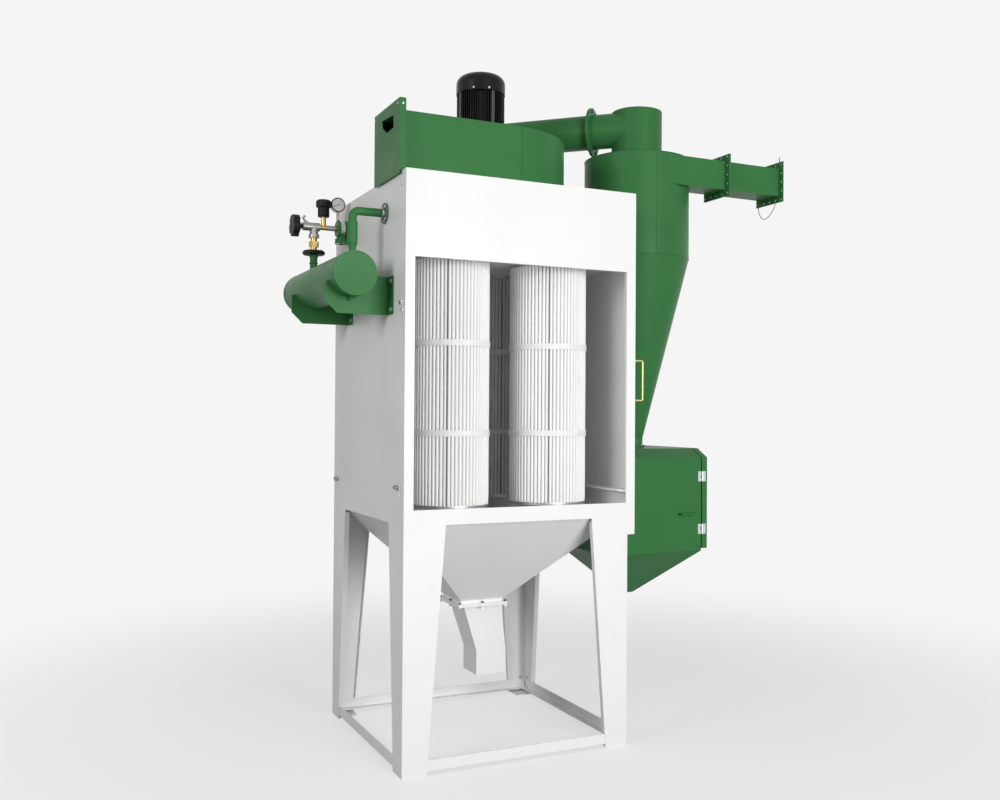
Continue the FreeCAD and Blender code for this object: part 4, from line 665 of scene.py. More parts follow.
def pleat_grower() -> Grower:
    """A tree that folds a ring of rounded pleats round a core at each point."""
    grower = Grower("pleated_ring", {
        "Radius": "NodeSocketFloat", "Depth": "NodeSocketFloat", "Bore": "NodeSocketFloat",
        "Height": "NodeSocketFloat", "Pleats": "NodeSocketInt", "Samples": "NodeSocketInt",
        "Sharpness": "NodeSocketFloat",
    })
    net = grower.tree
    size = grower.start.outputs
    samples = add_node(
        net, "ShaderNodeMath", {0: size["Pleats"], 1: size["Samples"]}, operation="MULTIPLY"
    )
    outside = add_node(net, "GeometryNodeCurvePrimitiveCircle", {"Radius": 1.0, "Resolution": samples})
    order = add_node(net, "GeometryNodeInputIndex")
    turn = add_node(net, "ShaderNodeMath", {0: order, 1: size["Samples"]}, operation="DIVIDE")
    phase = add_node(net, "ShaderNodeMath", {0: turn}, operation="FRACT")
    from_crest = add_node(net, "ShaderNodeMath", {0: phase, 1: 0.5}, operation="SUBTRACT")
    either_side = add_node(net, "ShaderNodeMath", {0: from_crest}, operation="ABSOLUTE")
    to_groove = add_node(net, "ShaderNodeMath", {0: either_side, 1: 2.0}, operation="MULTIPLY")
    rise = add_node(net, "ShaderNodeMath", {0: 1.0, 1: to_groove}, operation="SUBTRACT")
    sink = add_node(net, "ShaderNodeMath", {0: rise, 1: size["Sharpness"]}, operation="POWER")
    fall = add_node(net, "ShaderNodeMath", {0: size["Depth"], 1: sink}, operation="MULTIPLY")
    reach = add_node(net, "ShaderNodeMath", {0: size["Radius"], 1: fall}, operation="SUBTRACT")
    place = add_node(net, "GeometryNodeInputPosition")
    moved = add_node(net, "ShaderNodeVectorMath", {0: place, "Scale": reach}, operation="SCALE")
    star = add_node(net, "GeometryNodeSetPosition", {0: outside, "Position": moved})
    core = add_node(net, "GeometryNodeCurvePrimitiveCircle", {"Resolution": 96, "Radius": size["Bore"]})
    outline = add_node(net, "GeometryNodeJoinGeometry", {0: [star, core]})
    base = add_node(net, "GeometryNodeFillCurve", {0: outline})
    tall = add_node(
        net, "GeometryNodeExtrudeMesh", {0: base, "Offset Scale": size["Height"], "Individual": False},
        mode="FACES",
    )
    under = add_node(net, "GeometryNodeFlipFaces", {0: base})
    ring = add_node(net, "GeometryNodeJoinGeometry", {0: [tall, under]})
    whole = add_node(net, "GeometryNodeMergeByDistance", {0: ring, "Distance": 0.00001})
    spread = add_node(
        net, "GeometryNodeInstanceOnPoints", {"Points": size["Geometry"], "Instance": whole}
    )
    grower.close(spread)
    return grower


@dataclass
class Workshop:
    """The growers that every sub-assembly draws its repeated pieces from."""

    bolts: Grower = field(default_factory=bolt_grower)
    bars: Grower = field(default_factory=bar_grower)
    pleats: Grower = field(default_factory=pleat_grower)

    def fasten(
        self,
        piece: str,
        points: Iterable[tuple[Vector, Vector]],
        finish: Finish = ZINC,
        rider: Rider = Rider.MACHINE,
        across_flats: float = 13.0,
        head: float = 5.3,
        washer: float = 8.0,
        washer_height: float = 1.6,
    ) -> None:
        """Set hexagon heads at points.

        Args:
            piece: The set's name.
            points: Places in millimetres from the housing's corner, and the ways that the heads face.
            finish: Their finish.
            rider: The body they ride on.
            across_flats: The heads' width in millimetres.
            head: Their height.
            washer: The washers' radius.
            washer_height: The washers' height.
        """
        start = point_mesh(f"{piece}_points", ((at(*place), way) for place, way in points))
        self.bolts.grow(
            piece, start, finish, rider, Across_Flats=across_flats * MM, Head_Height=head * MM,
            Washer_Radius=washer * MM, Washer_Height=washer_height * MM,
        )

    def run_bar(
        self,
        piece: str,
        paths: Iterable[tuple[Sequence[Vector], bool]],
        radius: float,
        finish: Finish,
        rider: Rider = Rider.MACHINE,
        step: float = 4.0,
        ripple: float = 0.0,
        sides: int = 8,
    ) -> None:
        """Run a round bar or a weld bead along paths.

        Args:
            piece: The piece's name.
            paths: Each path's points in metres, and whether it closes on itself.
            radius: The bar's radius in millimetres.
            finish: Its finish.
            rider: The body it rides on.
            step: How far apart its rings are, in millimetres.
            ripple: How much its radius swings, as a share.
            sides: Its sides.
        """
        start = path_mesh(f"{piece}_path", paths)
        self.bars.grow(
            piece, start, finish, rider, Radius=radius * MM, Ripple=ripple, Step=step * MM, Sides=sides,
        )


@dataclass
class SubAssembly:
    """A part of the machine whose fittings are made together."""

    shop: Workshop

    def build(self) -> None:
        """Make every piece of the sub-assembly."""
        raise NotImplementedError

    def seam(
        self, piece: str, paths: Sequence[tuple[Sequence[Vector], bool]], radius: float,
        finish: Finish = GREEN_ENAMEL, step: float = 6.0,
    ) -> None:
        """Lay a weld bead along paths.

        Args:
            piece: The bead's name.
            paths: Each path's points in metres, and whether it closes on itself.
            radius: The bead's radius in millimetres.
            finish: The paint over it.
            step: How far apart its ripples are, in millimetres.
        """
        self.shop.run_bar(piece, paths, radius, finish, step=step, ripple=0.2)


@dataclass
class FilterCartridges(SubAssembly):
    """Four pleated cartridges behind the open front."""

    clearance: float = 0.3
    fold_depth: float = 17.0
    pleats: int = 64
    samples: int = 12
    sharpness: float = 4.0
    core: float = 106.0
    pitch_across: float = 453.0
    band_width: float = 25.0
    hem_inset: float = 2.5
    hem_lift: float = 0.1
    hem_radius: float = 0.7
    seam_angle: float = -117.0
    seam_spread: float = 1.4
    seam_sink: float = 2.0
    seam_end_gap: float = 2.0
    seam_radius: float = 1.7

    def build(self) -> None:
        """Fold the media, sew the bands and close each cartridge's seam."""
        self.fold_media()
        self.sew_bands()
        self.close_seams()

    def axes(self, node: str) -> tuple[list[Vector], float]:
        """Where the four cartridges stand.

        Args:
            node: The node whose rings give the axes.

        Returns:
            The four feet in millimetres from the housing's corner, and the rings' radius.
        """
        low, high = span(node)
        radius = (high.x - low.x - self.pitch_across) / 2
        feet = [
            Vector((across, deep, low.z))
            for deep in (low.y + radius, high.y - radius)
            for across in (low.x + radius, high.x - radius)
        ]
        return feet, radius

    def fold_media(self) -> None:
        """Put rounded pleats with creased grooves where the plain fluted solids were."""
        low, high = span("cartridge_media")
        feet, radius = self.axes("cartridge_media")
        start = point_mesh("cartridge_pleats_axes", ((at(*foot), UP) for foot in feet))
        pleats = self.shop.pleats.grow(
            "cartridge_pleats", start, POLYESTER_MEDIA, Rider.MACHINE,
            Radius=(radius - self.clearance) * MM, Depth=self.fold_depth * MM, Bore=self.core * MM,
            Height=(high.z - low.z) * MM, Pleats=self.pleats, Samples=self.samples,
            Sharpness=self.sharpness,
        )
        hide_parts("cartridge_media")

    def sew_bands(self) -> None:
        """Run a hem cord along both edges of each band."""
        low, high = span("cartridge_bands")
        feet, radius = self.axes("cartridge_bands")
        far_hem = self.band_width - self.hem_inset
        levels = (low.z + self.hem_inset, low.z + far_hem, high.z - far_hem, high.z - self.hem_inset)
        paths = [
            (circle_path(Vector((foot.x, foot.y, level)), radius + self.hem_lift, UP, 96), True)
            for foot in feet
            for level in levels
        ]
        self.shop.run_bar("band_hems", paths, self.hem_radius, POLYESTER_STRAP, step=9.0, sides=5)

    def close_seams(self) -> None:
        """Glue each pleat pack shut with a pair of beads down one groove."""
        low, high = span("cartridge_media")
        feet, radius = self.axes("cartridge_media")
        reach = radius - self.seam_sink
        beads = []
        for foot in feet:
            for aside in (-self.seam_spread, self.seam_spread):
                angle = math.radians(self.seam_angle + aside)
                across = foot.x + reach * math.cos(angle)
                deep = foot.y + reach * math.sin(angle)
                ends = (low.z + self.seam_end_gap, high.z - self.seam_end_gap)
                beads.append(([at(across, deep, level) for level in ends], False))
        self.shop.run_bar("cartridge_seams", beads, self.seam_radius, SEAM_GLUE, step=60.0, sides=6)


@dataclass
class RoofFan(SubAssembly):
    """Scroll, outlet plate and finned motor on the roof."""

    flange_height: float = 14.0
    flange_bolts: int = 8
    flange_bolt_reach: float = 115.0
    cowl_screw_reach: float = 107.2
    cowl_screw_rise: float = 8.0
    cowl_screw_degrees: tuple[float, ...] = (-130.5, -94.5, -10.0, 60.0, 96.0, 168.0)
    vents_each_side: int = 4
    vent_pitch: float = 12.0
    vent_half_width: float = 2.2
    vent_field_radius: float = 58.0
    vent_depth: float = 2.5
    vent_sink: float = 0.05
    rib_degrees: tuple[float, ...] = (-83.0, 7.0, 97.0, 187.0)
    rib_spread: float = 2.3
    rib_reach: float = 104.0
    rib_foot: float = 16.0
    rib_top_gap: float = 10.0
    rib_radius: float = 2.6
    plate_face_inset: float = 18.5
    plate_face_drop: float = 20.0
    plate_edge_inset: float = 13.0
    plate_edge_drop: float = 22.0
    plate_edge_rise: float = 40.0
    panel_seam_across: float = 525.0
    panel_seam_gap: float = 3.0
    foot_weld_ends: tuple[float, float] = (12.0, 430.0)

    def build(self) -> None:
        """Make the motor's fittings, the plate's screws and the scroll's seams."""
        self.bolt_motor()
        self.screw_cowl()
        self.paint_vent_shade()
        self.add_ribs()
        self.screw_plate()
        self.weld_scroll()

    def spoke(self, reach: float, degrees: float, level: float) -> tuple[Vector, Vector]:
        """A place round the motor.

        Args:
            reach: Millimetres from its axis.
            degrees: The angle from the right-hand side.
            level: Millimetres above the floor.

        Returns:
            The place in millimetres from the housing's corner, and the way out from the axis.
        """
        axis = middle("motor_body")
        angle = math.radians(degrees)
        way = Vector((math.cos(angle), math.sin(angle), 0))
        return Vector((axis.x, axis.y, level)) + way * reach, way

    def bolt_motor(self) -> None:
        """Bolt the motor's flange to the scroll."""
        level = span("motor_body")[0].z + self.flange_height
        step = 360 / self.flange_bolts
        points = [
            (self.spoke(self.flange_bolt_reach, step * (number + 0.5), level)[0], UP)
            for number in range(self.flange_bolts)
        ]
        self.shop.fasten("motor_flange_bolts", points, DARK_ZINC, across_flats=12, head=6, washer=7.5)

    def screw_cowl(self) -> None:
        """Screw the cowl on round its skirt."""
        level = span("motor_cowl")[0].z + self.cowl_screw_rise
        points = [self.spoke(self.cowl_screw_reach, turn, level) for turn in self.cowl_screw_degrees]
        self.shop.fasten(
            "motor_cowl_screws", points, across_flats=6, head=2, washer=4, washer_height=0.8,
        )

    def paint_vent_shade(self) -> None:
        """Paint the cowl's air slots as black bars let into its top: painted shade for the dark
        openings.
        """
        low, high = span("motor_cowl")
        axis = (low + high) / 2
        bars = []
        for number in range(-self.vents_each_side, self.vents_each_side + 1):
            shift = self.vent_pitch * number
            reach = math.sqrt(self.vent_field_radius ** 2 - shift ** 2)
            left = axis.x + shift - self.vent_half_width
            foot = Vector((left, axis.y - reach, high.z - self.vent_depth))
            top = Vector((left + 2 * self.vent_half_width, axis.y + reach, high.z - self.vent_sink))
            bars.append(slab("vent", foot, top))
        # The black bars are painted shade: they stand in for the dark of the open slots, which are not
        # cut.
        settle("motor_cowl_vents", merged("motor_cowl_vents", bars), BLACK_MOULDING, Rider.MACHINE)

    def add_ribs(self) -> None:
        """Stand two smooth ribs on each side of the motor, where its feet could be bolted, in a mid
        grey that is a painted highlight.
        """
        low, high = span("motor_body")
        ribs = []
        for side in self.rib_degrees:
            for aside in (-self.rib_spread, self.rib_spread):
                foot, _ = self.spoke(self.rib_reach, side + aside, low.z + self.rib_foot)
                top = Vector((foot.x, foot.y, high.z - self.rib_top_gap))
                ribs.append(([at(*foot), at(*top)], False))
        # The ribs' grey is a painted highlight: the lamp's reflection on the black motor.
        self.shop.run_bar("motor_pads", ribs, self.rib_radius, PAINTED_HIGHLIGHT_GREY, step=40.0)

    def screw_plate(self) -> None:
        """Screw the outlet plate to the scroll's mouth."""
        low, high = span("fan_outlet_plate")
        edge = low.x + self.plate_edge_inset
        upper = high.z - self.plate_edge_drop
        points = [
            (Vector((low.x, deep, high.z - self.plate_face_drop)), LEFT)
            for deep in (low.y + self.plate_face_inset, high.y - self.plate_face_inset)
        ]
        lower = low.z + self.plate_edge_rise
        points += [(Vector((edge, high.y, level)), BACK) for level in (lower, upper)]
        points.append((Vector((edge, low.y, upper)), FRONT))
        self.shop.fasten(
            "outlet_plate_screws", points, across_flats=5, head=2.4, washer=3.6, washer_height=0.8,
        )

    def weld_scroll(self) -> None:
        """Close the scroll's front sheet with an upright seam and weld its foot."""
        low, high = span("fan_scroll")
        levels = (low.z + self.panel_seam_gap, high.z - self.panel_seam_gap)
        upright = [at(self.panel_seam_across, low.y, level) for level in levels]
        self.seam("scroll_panel_seam", [(upright, False)], 1.3)
        foot = [at(across, low.y, low.z + 1) for across in self.foot_weld_ends]
        self.seam("scroll_foot_weld", [(foot, False)], 1.8)


@dataclass
class Cyclone(SubAssembly):
    """Pre-separator with its inlet duct and crossover pipe."""

    seam_angle: float = -101.0
    seam_gap: float = 3.0
    cone_bolts: int = 4
    cone_bolt_reach: float = 38.5
    cone_bolt_angle: float = 15.0
    cone_flange_height: float = 12.0
    pipe_start: tuple[float, float, float] = (1279.54, 409.54, 2708.0)
    pipe_radius: float = 80.0
    pipe_seams: tuple[tuple[float, ...], ...] = ((123.0, 160.0, 197.0), (213.0, 500.0, 700.0))
    joint_at: float = 205.0
    joint_bolts: int = 8
    joint_bolt_reach: float = 97.0
    joint_bolt_angle: float = 22.5
    joint_half_depth: float = 6.0
    drop_joint_levels: tuple[float, float] = (1812.0, 2596.0)
    duct_holes_a_side: int = 5
    duct_hole_inset: float = 12.0
    duct_flange: float = 6.0
    lead_line: Line = (
        (340, 2398), (334, 2386), (332, 2361), (319, 2337), (302, 2324),
        (279, 2322), (254, 2333), (229, 2355), (212, 2382), (215, 2398),
    )
    stud_inset: float = 23.0
    stud_foot: float = 12.0
    stud_height: float = 21.0

    def build(self) -> None:
        """Make the welds, the flange bolts and the earth lead."""
        self.weld_shell()
        self.bolt_cone()
        self.bolt_crossover()
        self.bolt_duct()
        self.hang_earth_lead()

    def weld_shell(self) -> None:
        """Weld the barrel to cone and head, and close the barrel with an upright seam."""
        low, high = span("cyclone_barrel")
        axis = (low + high) / 2
        radius = (high.x - low.x) / 2
        rings = [
            (circle_path(Vector((axis.x, axis.y, level)), radius, UP, 120), True)
            for level in (low.z, high.z)
        ]
        self.seam("barrel_ring_welds", rings, 2.0)
        head_low, head_high = span("cyclone_head")
        head_radius = (head_high.x - head_low.x) / 2
        foot = circle_path(Vector((axis.x, axis.y, head_low.z + 0.5)), head_radius, UP, 80)
        rim = circle_path(Vector((axis.x, axis.y, head_high.z - 1)), head_radius - 1, UP, 80)
        self.seam("head_ring_welds", [(foot, True), (rim, True)], 1.8, step=5.0)
        angle = math.radians(self.seam_angle)
        across = axis.x + radius * math.cos(angle)
        deep = axis.y + radius * math.sin(angle)
        upright = [at(across, deep, level) for level in (low.z + self.seam_gap, high.z - self.seam_gap)]
        self.seam("barrel_upright_weld", [(upright, False)], 1.3, step=5.0)

    def bolt_cone(self) -> None:
        """Bolt the cone's flange down on the bin."""
        centre = middle("cyclone_barrel")
        centre.z = span("cyclone_cone")[0].z + self.cone_flange_height
        places = ring_places(centre, self.cone_bolt_reach, UP, self.cone_bolts, self.cone_bolt_angle)
        self.shop.fasten(
            "cone_flange_bolts", [(place, UP) for place in places],
            across_flats=7, head=3.5, washer=4.2, washer_height=0.8,
        )

    def joint_bolts_round(self, centre: Vector, way: Vector) -> list[tuple[Vector, Vector]]:
        """Bolt heads on both sides of a flange pair.

        Args:
            centre: The middle of the pair, in millimetres from the housing's corner.
            way: The way that the pipe runs.

        Returns:
            The places and the ways that the heads face, the two of each bolt together.
        """
        shift = way * self.joint_half_depth
        points = []
        for place in ring_places(
            centre, self.joint_bolt_reach, way, self.joint_bolts, self.joint_bolt_angle
        ):
            points += [(place - shift, -way), (place + shift, way)]
        return points

    def bolt_crossover(self) -> None:
        """Bolt the crossover pipe's flange pairs round their rims, and weld the pipe along its top."""
        start = Vector(self.pipe_start)
        way = Vector((-1, 1, 0)).normalized()
        points = self.joint_bolts_round(start + way * self.joint_at, way)
        drop = middle("crossover_drop")
        shift = UP * self.joint_half_depth
        for level in self.drop_joint_levels:
            for place in ring_places(
                Vector((drop.x, drop.y, level)), self.joint_bolt_reach, UP, self.joint_bolts,
                self.joint_bolt_angle,
            ):
                points += [(place + shift, UP), (place - shift, DOWN)]
        self.shop.fasten(
            "crossover_flange_bolts", points, GREEN_ENAMEL, across_flats=12, head=5.5, washer=7.5,
        )
        top = start + UP * self.pipe_radius
        runs = [([at(*(top + way * along)) for along in run], False) for run in self.pipe_seams]
        self.seam("crossover_seam", runs, 1.2)

    def duct_holes(self, node: str, across: float) -> list[Vector]:
        """Where the holes round a duct flange are.

        Args:
            node: The node that the flange is on.
            across: Where the flange's face is.

        Returns:
            The places, in millimetres from the housing's corner.
        """
        low, high = span(node)
        inset = self.duct_hole_inset
        last = self.duct_holes_a_side - 1
        places = []
        for step in range(self.duct_holes_a_side):
            deep = low.y + inset + (high.y - low.y - 2 * inset) * step / last
            level = low.z + inset + (high.z - low.z - 2 * inset) * step / last
            places += [Vector((across, deep, edge)) for edge in (low.z + inset, high.z - inset)]
            if 0 < step < last:
                places += [Vector((across, edge, level)) for edge in (low.y + inset, high.y - inset)]
        return places

    def bolt_duct(self) -> None:
        """Bolt the duct's middle flanges together through their holes."""
        joint = span("inlet_duct_inner")[1].x
        points = []
        for place in self.duct_holes("inlet_duct_outer", joint):
            points.append((place + LEFT * self.duct_flange, LEFT))
            points.append((place + RIGHT * self.duct_flange, RIGHT))
        self.shop.fasten(
            "duct_flange_bolts", points, across_flats=7, head=3.5, washer=5.2, washer_height=0.8,
        )

    def hang_earth_lead(self) -> None:
        """Hang the earth lead between two holes of the duct's end flange, and stand its stud on top."""
        low, high = span("inlet_duct_outer")
        across = high.x - self.duct_flange
        lead = [at(across, deep, level) for deep, level in self.lead_line]
        self.shop.run_bar("duct_earth_lead", [(lead, False)], 1.7, DARK_ZINC, step=8.0)
        levels = (high.z - self.stud_foot, high.z + self.stud_height)
        stud = [at(across, low.y + self.stud_inset, level) for level in levels]
        self.shop.run_bar("duct_stud", [(stud, False)], 2.4, DARK_ZINC, step=8.0)


@dataclass
class GritBin(SubAssembly):
    """Bin under the cyclone with its side door and bow grip."""

    hinge_height: float = 45.0
    hinge_screw_inset: float = 5.5
    hinge_screw_sink: float = 3.0
    hinge_screw_shares: tuple[float, float] = (0.2, 0.8)
    lug_from_top: float = 42.0
    lug_from_bottom: float = 20.0
    lug_length: float = 20.0
    lug_width: float = 5.0
    lug_drop: float = 15.0
    lug_from_door: float = 4.0
    lug_stand: float = 3.0
    lug_root: float = 0.5
    lug_bevel: float = 0.8

    def build(self) -> None:
        """Make the hinge screws, the lugs and the bottom's weld."""
        self.screw_hinges()
        self.fold_lugs()
        self.weld_bin()

    def screw_hinges(self) -> None:
        """Screw both leaves of each hinge down."""
        for node, outer, inwards, rider in (
            ("bin_hinge_fixed", 0, 1, Rider.MACHINE), ("bin_hinge_moving", 1, -1, Rider.DOOR),
        ):
            corners = span(node)
            low, high = corners
            across = corners[outer].x + self.hinge_screw_inset * inwards
            face = high.y - self.hinge_screw_sink
            points = [
                (Vector((across, face, foot + self.hinge_height * share)), FRONT)
                for foot in (low.z, high.z - self.hinge_height)
                for share in self.hinge_screw_shares
            ]
            self.shop.fasten(
                f"{node}_screws", points, ZINC, rider,
                across_flats=4.5, head=0.9, washer=2.8, washer_height=0.5,
            )

    def fold_lugs(self) -> None:
        """Fold small lugs at the bin's front beside the door's seam, near the top and the bottom."""
        low, high = span("bin_body")
        right = high.x - self.lug_from_door
        lugs = []
        for level in (high.z - self.lug_from_top, low.z + self.lug_from_bottom):
            for length, under, over in (
                (self.lug_length, 0.0, self.lug_width), (self.lug_width, -self.lug_drop, 0.0),
            ):
                foot = Vector((right - length, low.y - self.lug_stand, level + under))
                top = Vector((right, low.y + self.lug_root, level + over))
                lugs.append(slab("lug", foot, top, self.lug_bevel))
        settle("bin_lugs", merged("bin_lugs", lugs), GREEN_ENAMEL, Rider.MACHINE)

    def weld_bin(self) -> None:
        """Weld the pyramid to the bin's bottom edge."""
        low, high = span("bin_body")
        corners = ((low.x, low.y), (high.x, low.y), (high.x, high.y), (low.x, high.y))
        rim = [at(across, deep, low.z) for across, deep in corners]
        self.seam("bin_bottom_weld", [(rim, True)], 1.6)


@dataclass
class AirTrain(SubAssembly):
    """Compressed-air tank with its valves, gauge and pipes."""

    foot_thickness: float = 4.0
    foot_bolt_inset: float = 20.0
    bracket_pitch: float = 531.0
    cap_weld_inset: float = 22.0
    cap_weld_sink: float = 0.4
    drain_from_front: float = 60.0
    drain_line: Line = ((0, -15), (5, -15), (5, -8), (9, -7), (9, 0), (0, 0))
    blow_pipe_wall: tuple[float, float] = (240.0, 2167.0)
    pulse_pipe_wall: tuple[float, float] = (712.0, 2176.0)
    wall_flange: float = 7.0
    wall_bolt_reach: float = 33.0
    union_line: Line = ((0, -17), (20, -17), (21.6, -15), (21.6, -8), (0, -8))
    bonnet_across: float = -38.0
    bonnet_screw_reach: float = 26.0
    disc_screw_reach: float = 38.0
    gauge_across: float = -60.0
    gauge_level: float = 2280.0
    dial_radius: float = 28.0
    dial_depth: float = 0.8
    rim_radius: float = 29.4
    ticks: int = 11
    tick_start: float = 225.0
    tick_step: float = 27.0
    tick_reach: tuple[float, float] = (21.0, 25.0)
    needle_angle: float = 205.0
    needle_reach: tuple[float, float] = (-6.0, 20.0)
    hook_depth: float = 19.0
    hook_line: Line = (
        (-180, 2188), (-190, 2191), (-199, 2196), (-208, 2204),
        (-213, 2213), (-210, 2219), (-203, 2219),
    )
    sleeve_bevel: float = 1.0
    taper_line: Line = ((0, 2027), (16.2, 2027), (20.3, 2041), (0, 2041))
    blow_pipe_inset: float = 20.5
    blow_weld_level: float = 1990.0
    blow_weld_radius: float = 15.5
    riser_weld_rise: float = 30.0

    def build(self) -> None:
        """Make the tank's fittings, the flange bolts, the gauge's face and the pipes' fittings."""
        self.bolt_brackets()
        self.fit_tank()
        self.bolt_walls()
        self.bolt_valves()
        self.draw_gauge()
        self.hang_hook()
        self.plate_fittings()
        self.weld_pipes()

    def bolt_brackets(self) -> None:
        """Bolt both brackets' feet to the housing's left wall."""
        low, high = span("tank_brackets")
        inset = self.foot_bolt_inset
        points = [
            (Vector((-self.foot_thickness, deep, level)), LEFT)
            for deep in (low.y + inset, low.y + inset + self.bracket_pitch)
            for level in (low.z + inset, high.z - inset)
        ]
        self.shop.fasten("bracket_foot_bolts", points)

    def fit_tank(self) -> None:
        """Weld the tank's end caps, and screw one plug in below and one behind."""
        low, high = span("air_tank")
        centre = (low + high) / 2
        radius = (high.x - low.x) / 2 - self.cap_weld_sink
        rings = [
            (circle_path(Vector((centre.x, deep, centre.z)), radius, BACK, 72), True)
            for deep in (low.y + self.cap_weld_inset, high.y - self.cap_weld_inset)
        ]
        self.seam("tank_ring_welds", rings, 1.5)
        foot = Vector((centre.x, low.y + self.drain_from_front, low.z + 2))
        plug = lathe("tank_drain_plug", self.drain_line, foot, UP, 20)
        settle("tank_drain_plug", plug, GREEN_ENAMEL, Rider.MACHINE)
        rear = Vector((centre.x, high.y - 0.5, centre.z))
        self.shop.fasten(
            "tank_rear_plug", [(rear, BACK)], GREEN_ENAMEL,
            across_flats=24, head=9, washer=17, washer_height=3,
        )

    def bolt_walls(self) -> None:
        """Bolt the wall flanges of both pipes to the left wall."""
        reach = self.wall_bolt_reach
        points = []
        for deep, level in (self.blow_pipe_wall, self.pulse_pipe_wall):
            for degrees in (45, 135, 225, 315):
                angle = math.radians(degrees)
                spoke = Vector((0, reach * math.cos(angle), reach * math.sin(angle)))
                points.append((Vector((-self.wall_flange, deep, level)) + spoke, LEFT))
        self.shop.fasten(
            "wall_flange_bolts", points, across_flats=8, head=4, washer=6, washer_height=1.0,
        )

    def bolt_valves(self) -> None:
        """Bolt the pulse valve's cover and the riser's disc down."""
        low, high = span("pulse_valve")
        cover = Vector((self.bonnet_across, (low.y + high.y) / 2, low.z))
        bonnet = [(place, DOWN) for place in ring_places(cover, self.bonnet_screw_reach, UP, 6, 30.0)]
        self.shop.fasten("bonnet_screws", bonnet, across_flats=6, head=3, washer=4, washer_height=0.8)
        disc = middle("riser_disc")
        disc.z = span("riser_disc")[1].z
        studs = [(place, UP) for place in ring_places(disc, self.disc_screw_reach, UP, 4, 45.0)]
        self.shop.fasten("disc_screws", studs, across_flats=7, head=3.5, washer=5, washer_height=0.8)

    def draw_gauge(self) -> None:
        """Face the gauge with a white dial, a black rim, ticks and a needle."""
        centre = Vector((self.gauge_across, span("pressure_gauge")[0].y, self.gauge_level))
        edge = self.dial_radius
        side = ((0, 0), (edge, 0), (edge, self.dial_depth), (0, self.dial_depth))
        settle("gauge_dial", lathe("gauge_dial", side, centre, FRONT, 48), DIAL_WHITE, Rider.MACHINE)
        rim = circle_path(centre + FRONT * 0.6, self.rim_radius, FRONT, 64)
        self.shop.run_bar("gauge_rim", [(rim, True)], 2.2, BLACK_MOULDING, step=3.0)
        marks = [
            self.hand(centre + FRONT * 0.9, self.tick_start - self.tick_step * number, self.tick_reach)
            for number in range(self.ticks)
        ]
        self.shop.run_bar("gauge_ticks", marks, 0.45, BLACK_MOULDING, step=2.0, sides=5)
        needle = self.hand(centre + FRONT * 1.4, self.needle_angle, self.needle_reach)
        self.shop.run_bar("gauge_needle", [needle], 1.1, BLACK_MOULDING, step=3.0, sides=6)

    def hand(
        self, centre: Vector, degrees: float, reach: tuple[float, float]
    ) -> tuple[list[Vector], bool]:
        """A straight line on the gauge's dial.

        Args:
            centre: The dial's middle, in millimetres from the housing's corner.
            degrees: The line's angle from the right-hand side.
            reach: How far from the middle it starts and ends.

        Returns:
            Its open path in metres.
        """
        angle = math.radians(degrees)
        way = Vector((math.cos(angle), 0, math.sin(angle)))
        return [at(*(centre + way * along)) for along in reach], False

    def hang_hook(self) -> None:
        """Hook a curved lever over the stop valve, its root clear of the spindle."""
        deep = span("stop_valve")[0].y + self.hook_depth
        hook = [at(across, deep, level) for across, level in self.hook_line]
        self.shop.run_bar("stop_valve_hook", [(hook, False)], 4.6, NICKEL, step=3.0, sides=10)

    def plate_fittings(self) -> None:
        """Sleeve the plated and cast lengths that share a solid with brass or painted ones."""
        tee = span("air_tee")[0].x
        valve_low, valve_high = span("pulse_valve")
        start = Vector((tee, (valve_low.y + valve_high.y) / 2, self.pulse_pipe_wall[1]))
        length = valve_low.x - tee
        for piece, radius, first, last, finish, rider in (
            ("tee_sleeve_left", 11.4, 1, 7, NICKEL, Rider.MACHINE),
            ("tee_sleeve_right", 11.4, 31, length - 1, NICKEL, Rider.MACHINE),
            ("valve_waist_casting", 31.5, length + 11, length + 38, CAST_ALUMINIUM, Rider.MACHINE),
            ("spindle_collar", 8.5, -91.5, -74.5, BLACK_MOULDING, Rider.WHEEL),
        ):
            bevel = self.sleeve_bevel
            line = (
                (0, first), (radius - bevel, first), (radius, first + bevel),
                (radius, last - bevel), (radius - bevel, last), (0, last),
            )
            settle(piece, lathe(piece, line, start, RIGHT, 40), finish, rider)
        for piece, (deep, level) in (
            ("blow_wall_union", self.blow_pipe_wall), ("pulse_wall_union", self.pulse_pipe_wall),
        ):
            union = lathe(piece, self.union_line, Vector((0, deep, level)), RIGHT, 32)
            settle(piece, union, NICKEL, Rider.MACHINE)

    def weld_pipes(self) -> None:
        """Taper the blow pipe's sleeve at its foot and ring the risers with weld."""
        low, _ = span("blow_pipe")
        centre = Vector((low.x + self.blow_pipe_inset, low.y + self.blow_pipe_inset, 0))
        taper = lathe("blow_pipe_taper", self.taper_line, centre, UP, 40)
        settle("blow_pipe_taper", taper, GREEN_ENAMEL, Rider.MACHINE)
        foot = circle_path(centre + UP * self.blow_weld_level, self.blow_weld_radius, UP, 40)
        riser_low, riser_high = span("rear_riser")
        riser = middle("rear_riser")
        riser.z = riser_low.z + self.riser_weld_rise
        ring = circle_path(riser, (riser_high.x - riser_low.x) / 2, UP, 40)
        self.seam("riser_welds", [(foot, True), (ring, True)], 1.6, step=4.0)


